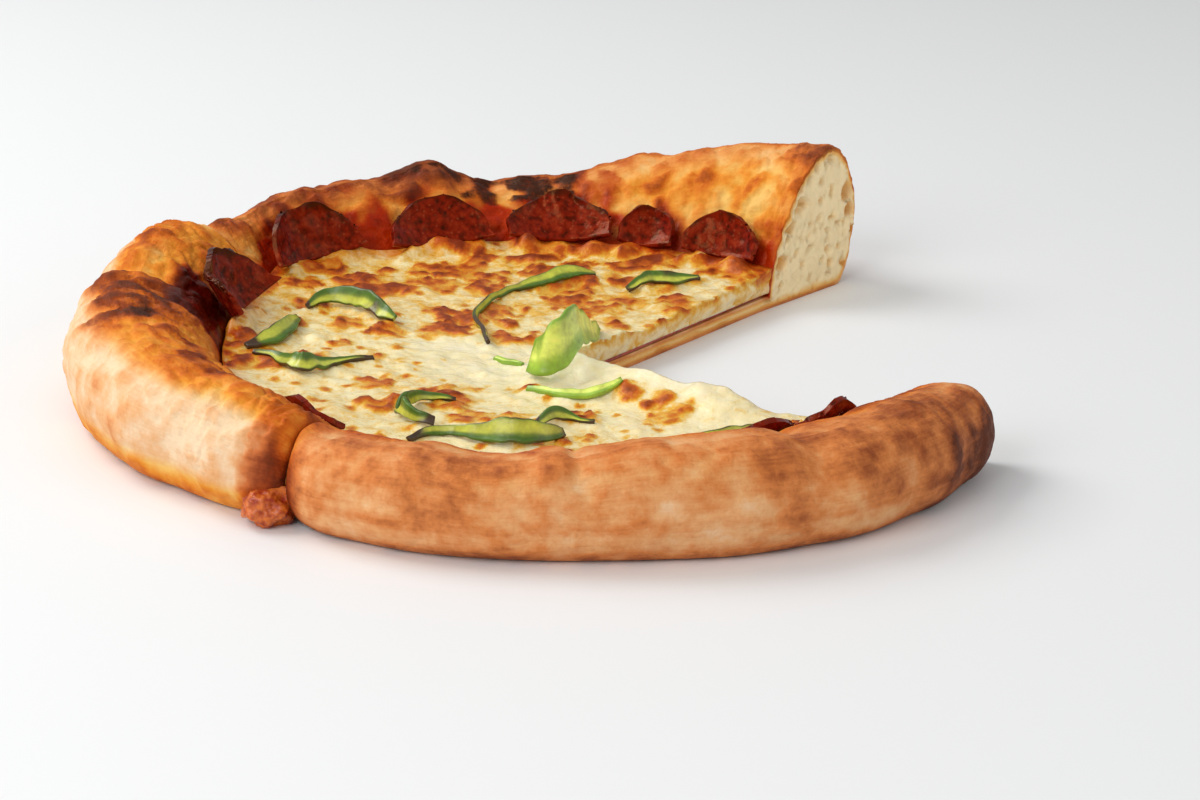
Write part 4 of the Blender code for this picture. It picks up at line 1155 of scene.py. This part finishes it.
def pepperoni_slice(angle, disc, middle, curl, lean):
    """A slice that leans on the rim, curled and wrinkled, with its scorched edges as a mask."""
    toe, up, inward = pepperoni_frame(angle)
    tall = disc + middle
    mesh = bmesh.new()
    bmesh.ops.create_grid(mesh, x_segments=PEPPERONI_ACROSS, y_segments=PEPPERONI_UP, size=1)
    grid = np.array([corner.co for corner in mesh.verts])
    across = np.sin(grid[:, 0] * math.pi / 2)
    above = (tall + PEPPERONI_SUNK) * np.sin((grid[:, 1] + 1) / 2 * math.pi / 2) - PEPPERONI_SUNK
    rise = above / tall
    half = np.sqrt(np.clip(disc * disc - (above - middle) ** 2, 0, None))
    half = np.maximum(half, PEPPERONI_TOP * disc * smooth(rise * 4))
    half *= 1 - 0.07 * smooth((0.3 - rise) / 0.3)
    outline = in_plane(grid[:, 0], rise)
    side = across * half * (1 + 0.1 * lumps(outline, 0.55, angle)) + lean * above
    bow = curl * (side / disc) ** 2 + PEPPERONI_TIP_CURL * curl * np.clip(rise, 0, 1) ** 3
    ripple = PEPPERONI_RIPPLE * rise * np.sin(5 * side / disc + angle)
    wave = lumps(in_plane(side / 10.0, 0 * side), 1.0, angle)
    above = above + (0.8 + 1.2 * smooth((tall - 9) / 8)) * wave * smooth(rise)
    line = toe + up * above[:, None]
    rim = Rim(angle + np.degrees(side / line[:, 0]))
    bumps = BROAD_BUMPS[0] * smooth((line[:, 1] - SMOOTH_SLOPE) / SMOOTH_BAND)
    wall = rim.wall_radius(np.minimum(line[:, 1], rim.height - 0.5)) - bumps
    off = np.clip((line[:, 0] - wall) * abs(up[1]), 0, None)
    flat = in_plane(side, above)
    pleat = in_plane(side / PLEAT_WIDTH, above / PLEAT_LENGTH)
    wrinkle = PLEAT_DEPTH * rise * lumps(pleat, 1.0, angle + 3) + 0.5 * lumps(flat, 3.8, angle)
    wrinkle += LIP_FLARE * smooth((rise - 0.72) / 0.28) * (0.7 + lumps(flat, 9.0, angle + 8))
    wrinkle *= smooth(tall / 16)
    away = PEPPERONI_CLEARANCE + PEPPERONI_THICKNESS + bow + ripple + off + wrinkle
    spot = line + inward * away[:, None]
    points = polar(angle + np.degrees(side / spot[:, 0]), spot[:, 0], spot[:, 1])
    from_edge = np.minimum(disc - np.hypot(side - lean * above, above - middle), 6.0)
    scorch = 0.12 + 0.95 * smooth((2.4 + 2.2 * lumps(flat, 5.0, angle) - from_edge) / 3.2)
    scorch *= smooth((rise - 0.05) / 0.5) * (1 + 0.4 * lumps(flat, 4.0, angle + 5))
    scorch *= 0.4 + 0.6 * smooth((tall - 6) / 12)
    move_corners(mesh, points)
    set_masks(mesh, {"scorch": scorch})
    return mesh


def ribbon_point(points, share):
    """The place, lift, half width and tilt at a share of a strip's length, on a smooth curve."""
    spot = share * (len(points) - 1)
    first = min(int(spot), len(points) - 2)
    t = spot - first
    near = [points[min(max(first + k, 0), len(points) - 1)] for k in (-1, 0, 1, 2)]
    weights = (
        0.5 * (-t + 2 * t * t - t**3), 0.5 * (2 - 5 * t * t + 3 * t**3),
        0.5 * (t + 4 * t * t - 3 * t**3), 0.5 * (-t * t + t**3),
    )
    return np.array([sum(w * p[k] for w, p in zip(weights, near)) for k in range(5)])


def pepper_strip(points, seed):
    """A strip of pepper with pulpy edges, twisted and laid as its solid is."""
    length = PEPPER_STEPS * (len(points) - 1)
    mesh = bmesh.new()
    bmesh.ops.create_grid(mesh, x_segments=length, y_segments=PEPPER_ROWS, size=1)
    grid = np.array([corner.co for corner in mesh.verts])
    share, across = (grid[:, 0] + 1) / 2, grid[:, 1]
    spots = np.array([ribbon_point(points, s) for s in share])
    ahead = np.array([ribbon_point(points, min(1.0, s + RUN_SAMPLE)) for s in share])
    behind = np.array([ribbon_point(points, max(0.0, s - RUN_SAMPLE)) for s in share])
    run = ahead[:, :2] - behind[:, :2]
    run /= lengths(run)[:, None]
    x, y, lift, half, tilt = spots.T
    turn = np.radians(tilt)
    lean = np.copysign(np.cos(turn), tilt)
    side = np.stack([-run[:, 1] * lean, run[:, 0] * lean, np.abs(np.sin(turn))], axis=-1)
    under = np.max([cheese_height(x + dx * half, y + dy * half) for dx, dy in PEPPER_FEET], axis=0)
    low = under + PEPPER_CLEARANCE + PEPPER_THICKNESS / 2 + lift + half * np.abs(np.sin(turn))
    low += PEPPER_CUP * half * across * across - PEPPER_SINKS
    edge_place = np.stack([x, y, 9.0 * np.sign(across)], axis=-1)
    ragged = 0.45 * lumps(edge_place, 5.0, seed) + 0.2 * lumps(edge_place, 2.2, seed)
    places = np.stack([x, y, low], axis=-1) + side * (across * (half + ragged * smooth(half / 2)))[:, None]
    wave = 0.35 * lumps(places, 5.0, seed)
    places += np.stack([run[:, 1], -run[:, 0], 0 * wave], axis=-1) * wave[:, None]
    tips = smooth((0.1 - np.minimum(share, 1 - share)) / 0.1)
    from_tip = share if seed % 2 else 1 - share
    charred_tip = 0.9 * smooth((0.26 - from_tip) / 0.16) * (0.6 + lumps(places, 6.0, seed))
    tips = np.maximum(tips, charred_tip)
    skin_side = across * (-1 if seed % 2 else 1)
    dry = smooth((-skin_side - 0.7) / 0.3) * 0.7 + 0.3 * smooth((skin_side - 0.7) / 0.3) + 0.8 * tips
    dry += 0.8 * lumps(places, 7.0, seed + 0.4)
    rind = np.maximum(smooth((skin_side + 0.1) / 0.5), smooth((-skin_side - 0.7) / 0.2))
    move_corners(mesh, places)
    set_masks(mesh, {"dry": np.clip(dry, 0, 1), "skin": rind})
    return mesh


def thick(piece, thickness):
    """Gives a sheet its thickness and softens its edges."""
    wall = piece.modifiers.new("thickness", "SOLIDIFY")
    wall.thickness = thickness * MM
    wall.offset = 0
    soft = piece.modifiers.new("soft_edges", "SUBSURF")
    soft.levels = soft.render_levels = 1


def spilled_lump():
    """The lump of tomato and cheese, pushed clear of the crust behind it."""
    mesh = bmesh.new()
    bmesh.ops.create_icosphere(mesh, subdivisions=6, radius=1)
    ball = np.array([corner.co.normalized() for corner in mesh.verts])
    swell = 1 + SPILL_LUMPS * lumps(ball * 1.7 + np.array([2.0, 5.0, 1.0]), 1.0)
    swell += 0.07 * lumps(ball, 0.28, 3.0) + 0.035 * lumps(ball, 0.12, 4.0)
    turn = np.array(Matrix.Rotation(math.radians(SPILL_ANGLE + 90), 3, "Z"))
    points = polar(SPILL_ANGLE, SPILL_RADIUS, SPILL_MIDDLE) + (ball * SPILL_SIZE * swell[:, None]) @ turn.T
    points[:, 2] = np.clip(points[:, 2], 0, None)
    angle = bearing(points[:, 0], points[:, 1])
    rim = Rim(angle)
    quarter = np.arccos(np.clip(1 - points[:, 2] / rim.bulge, 0, 1))
    skin = rim.foot + (rim.outer - rim.foot) * np.sin(quarter) + 0.4
    radius = np.maximum(np.hypot(points[:, 0], points[:, 1]), skin)
    move_corners(mesh, polar(angle, radius, points[:, 2]))
    return mesh


# What a user may change


def tint(name, description, value):
    return FloatVectorProperty(name=name, description=description, default=linear(value), subtype="COLOR")


def watts(name, description, value):
    return FloatProperty(name=name, description=description, default=value, min=0, max=500, unit="POWER")


class PizzaLook(bpy.types.PropertyGroup):
    """Sizes and colours of the baked pizza."""

    crust_relief: FloatProperty(
        name="Crust relief", description="How strongly the crust's fine bumps stand out", default=1.0,
        min=0, max=3, subtype="FACTOR",
    )
    toast_rise: FloatProperty(
        name="Toasted rise", description="How far browned cheese stands above the rest", default=0.0012,
        min=0, max=0.003, unit="LENGTH", precision=5,
    )
    crust_flour: tint("Floury crust", "The palest, floury crust", "#ECCFAC")
    crust_pale: tint("Pale crust", "Lightly baked crust", "#E5AC78")
    crust_tan: tint("Tan crust", "Baked crust on the outside", "#D6864D")
    crust_brown: tint("Brown crust", "Well baked crust", "#A65C34")
    crust_dark: tint("Dark crust", "The darkest baked crust", "#5E2A18")
    gold_light: tint("Light golden crust", "Buttery crust, palest", "#EFBC5A")
    gold_warm: tint("Golden crust", "Buttery crust", "#E6922E")
    gold_brown: tint("Golden-brown crust", "Buttery crust, browned", "#CE6818")
    gold_deep: tint("Deep brown crust", "Buttery crust, well browned", "#8C380E")
    char: tint("Char", "Burnt crust", "#3A160B")
    crumb: tint("Crumb", "The inside of the dough", "#FFE7B8")
    # Also painted shade in the crumb's holes
    crumb_shade: tint("Crumb shade", "Moist places of the crumb", "#F5C67C")
    # Also the colour of painted shade on the crust, at the seam and by the pepperoni
    oil_stain_and_shade: tint("Oil on crust", "What tomato and oil take from the crust's colour", "#CC5820")
    cheese_white: tint("White cheese", "Cheese that only melted", "#F8F0CE")
    cheese_cream: tint("Cream cheese colour", "Most of the cheese", "#F3E4AE")
    cheese_yellow: tint("Yellow cheese", "Round the toasted patches", "#E6B545")
    cheese_gold: tint("Golden cheese", "Edges of the toasted patches", "#D68722")
    cheese_toast: tint("Toasted cheese", "Toasted patches", "#C05C15")
    cheese_burnt: tint("Dark toasted cheese", "The darkest patches", "#82300A")
    oil_tint: tint("Oil on cheese", "What orange oil takes from the cheese's colour", "#F09A3C")
    meat_dark: tint("Dark meat", "Darkest grain of the pepperoni", "#3C0803")
    meat_red: tint("Meat", "Pepperoni", "#7A1607")
    meat_light: tint("Light meat", "Lightest grain of the pepperoni", "#922C12")
    meat_char: tint("Scorched meat", "Scorched edges of the pepperoni", "#401408")
    fat: tint("Fat", "Flecks of fat", "#A0502E")
    pepper_flesh: tint("Pepper flesh", "Inside of the baked pepper", "#BDC244")
    pepper_skin: tint("Pepper skin", "Outside of the baked pepper", "#4C6E18")
    fresh_flesh: tint("Fresh pepper", "Inside of the barely baked pepper", "#E0EE72")
    fresh_skin: tint("Fresh pepper skin", "Outside of the barely baked pepper", "#98BC40")
    fresh_edge: tint("Fresh pepper edge", "Edges of the barely baked pepper", "#84AA3A")
    pepper_dry: tint("Dried edge", "Dried edges of the pepper", "#45301B")
    tomato: tint("Tomato", "Cooked tomato", "#B8441F")
    tomato_dark: tint("Dark tomato", "Darker pulp", "#842412")
    floor_colour: tint("Floor", "The pale floor", "#EDEEEE")
    sky_strength: FloatProperty(
        name="Room light", description="Strength of the even light all round", default=0.43, min=0, max=5,
    )
    key_power: watts("Main light", "Power of the large soft light from the left", 11.1)
    fill_power: watts("Front light", "Power of the large soft light in front", 10.4)
    side_power: watts("Side light", "Power of the weak light on the cut face's side", 1.9)


class PIZZA_OT_dough(bpy.types.Operator):
    """Bake the three dough slices, with browned crust outside and airy crumb at the cuts"""

    bl_idname = "pizza.dough"
    bl_label = "Dough slices"

    def execute(self, context):
        look = context.scene.pizza_look
        crust = baked_crust(look)
        for node, start, end in SLICES:
            finished("baked_" + node, dough_slice(start, end, look), node, crust)
        return {"FINISHED"}


class PIZZA_OT_sauce(bpy.types.Operator):
    """Colour the tomato layer that shows at the cuts"""

    bl_idname = "pizza.sauce"
    bl_label = "Tomato layer"

    def execute(self, context):
        look = context.scene.pizza_look
        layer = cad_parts["tomato_sauce"]
        layer.data.materials.clear()
        layer.data.materials.append(cooked_tomato("tomato_sauce", look.tomato, look.tomato_dark, 0.35))
        return {"FINISHED"}


class PIZZA_OT_cheese(bpy.types.Operator):
    """Melt and brown the cheese"""

    bl_idname = "pizza.cheese"
    bl_label = "Melted cheese"

    def execute(self, context):
        look = context.scene.pizza_look
        cheese = browned_cheese(look)
        finished("browned_cheese", cheese_sheet(look), "melted_cheese", cheese)
        return {"FINISHED"}


class PIZZA_OT_pepperoni(bpy.types.Operator):
    """Stand the pepperoni slices against the rim"""

    bl_idname = "pizza.pepperoni"
    bl_label = "Pepperoni"

    def execute(self, context):
        meat = cured_pepperoni(context.scene.pizza_look)
        for node, angle, disc, middle, curl, lean in PEPPERONI:
            mesh = pepperoni_slice(angle, disc, middle, curl, lean)
            piece = finished("baked_" + node, mesh, node, meat)
            thick(piece, PEPPERONI_THICKNESS)
        return {"FINISHED"}


class PIZZA_OT_peppers(bpy.types.Operator):
    """Lay the strips of green pepper on the cheese"""

    bl_idname = "pizza.peppers"
    bl_label = "Pepper strips"

    def execute(self, context):
        look = context.scene.pizza_look
        baked = green_pepper("baked_pepper", look.pepper_flesh, look.pepper_skin, look.pepper_dry, 0.32)
        fresh = green_pepper("fresh_pepper", look.fresh_flesh, look.fresh_skin, look.fresh_edge, 0.28)
        for seed, (node, points) in enumerate(PEPPERS.items()):
            mesh = pepper_strip(points, seed)
            material = fresh if node in FRESH_PEPPERS else baked
            piece = finished("strip_" + node, mesh, node, material)
            thick(piece, PEPPER_THICKNESS)
        return {"FINISHED"}


class PIZZA_OT_spill(bpy.types.Operator):
    """Shape the lump of tomato and cheese at the foot of the front seam"""

    bl_idname = "pizza.spill"
    bl_label = "Seam spill"

    def execute(self, context):
        lump = cooked_tomato("tomato_and_cheese", linear("#DD7426"), linear("#9E2F0C"), 0.36)
        finished("squeezed_out_spill", spilled_lump(), "seam_spill", lump)
        return {"FINISHED"}


class PIZZA_OT_stage(bpy.types.Operator):
    """Set the pale floor, the soft lights and the camera"""

    bl_idname = "pizza.stage"
    bl_label = "Floor, lights and camera"

    def execute(self, context):
        look = context.scene.pizza_look
        scene = context.scene
        mesh = bmesh.new()
        bmesh.ops.create_grid(mesh, x_segments=4, y_segments=4, size=FLOOR_REACH)
        data = bpy.data.meshes.new("floor")
        mesh.to_mesh(data)
        mesh.free()
        floor = bpy.data.objects.new("floor", data)
        scene.collection.objects.link(floor)
        material, tree, shader = new_material("pale_floor")
        feed(tree, shader, {"Base Color": (*look.floor_colour, 1), "Roughness": 0.6})
        data.materials.append(material)

        world = bpy.data.worlds.new("room")
        scene.world = world
        world.use_nodes = True
        sky = world.node_tree.nodes["Background"]
        sky.inputs["Color"].default_value = (1, 1, 1, 1)
        sky.inputs["Strength"].default_value = look.sky_strength
        middle = Vector(CENTRE * MM)
        for name, place, size, power in LIGHTS:
            light = bpy.data.lights.new(name, "AREA")
            light.size = size
            light.energy = getattr(look, power)
            lamp = bpy.data.objects.new(name, light)
            lamp.location = middle + Vector(place)
            lamp.rotation_euler = (-Vector(place)).to_track_quat("-Z", "Y").to_euler()
            scene.collection.objects.link(lamp)

        elevation, roll = math.radians(CAMERA_ELEVATION), math.radians(CAMERA_ROLL)
        back = Vector((0, -math.cos(elevation), math.sin(elevation)))
        up = Vector((0, math.sin(elevation), math.cos(elevation)))
        right = Vector((1, 0, 0))
        x_axis = right * math.cos(roll) + up * math.sin(roll)
        y_axis = up * math.cos(roll) - right * math.sin(roll)
        data = bpy.data.cameras.new("camera")
        data.lens = LENS
        data.sensor_width = SENSOR_WIDTH
        camera = bpy.data.objects.new("camera", data)
        turn = Matrix((x_axis, y_axis, back)).transposed().to_4x4()
        turn.translation = middle + Vector(CAMERA_TARGET) * MM + back * CAMERA_DISTANCE * MM
        camera.matrix_world = turn
        scene.collection.objects.link(camera)
        scene.camera = camera
        scene.view_settings.view_transform = "Standard"
        return {"FINISHED"}


class PIZZA_PT_looks(bpy.types.Panel):
    """Lists the pizza's pieces in the order in which they are made"""

    bl_label = "Pizza"
    bl_idname = "PIZZA_PT_looks"
    bl_space_type = "VIEW_3D"
    bl_region_type = "UI"
    bl_category = "Pizza"

    def draw(self, context):
        for step in STEPS:
            self.layout.operator(step.bl_idname)
        for key in PizzaLook.__annotations__:
            self.layout.prop(context.scene.pizza_look, key)


STEPS = (
    PIZZA_OT_stage, PIZZA_OT_dough, PIZZA_OT_sauce, PIZZA_OT_cheese, PIZZA_OT_pepperoni, PIZZA_OT_peppers,
    PIZZA_OT_spill,
)
CLASSES = (PizzaLook, *STEPS, PIZZA_PT_looks)


def register():
    for made in CLASSES:
        bpy.utils.register_class(made)
    bpy.types.Scene.pizza_look = PointerProperty(type=PizzaLook)


def unregister():
    del bpy.types.Scene.pizza_look
    for made in reversed(CLASSES):
        bpy.utils.unregister_class(made)


def main():
    register()
    for step in STEPS:
        group, name = step.bl_idname.split(".")
        getattr(getattr(bpy.ops, group), name)()


if __name__ == "__main__":
    main()
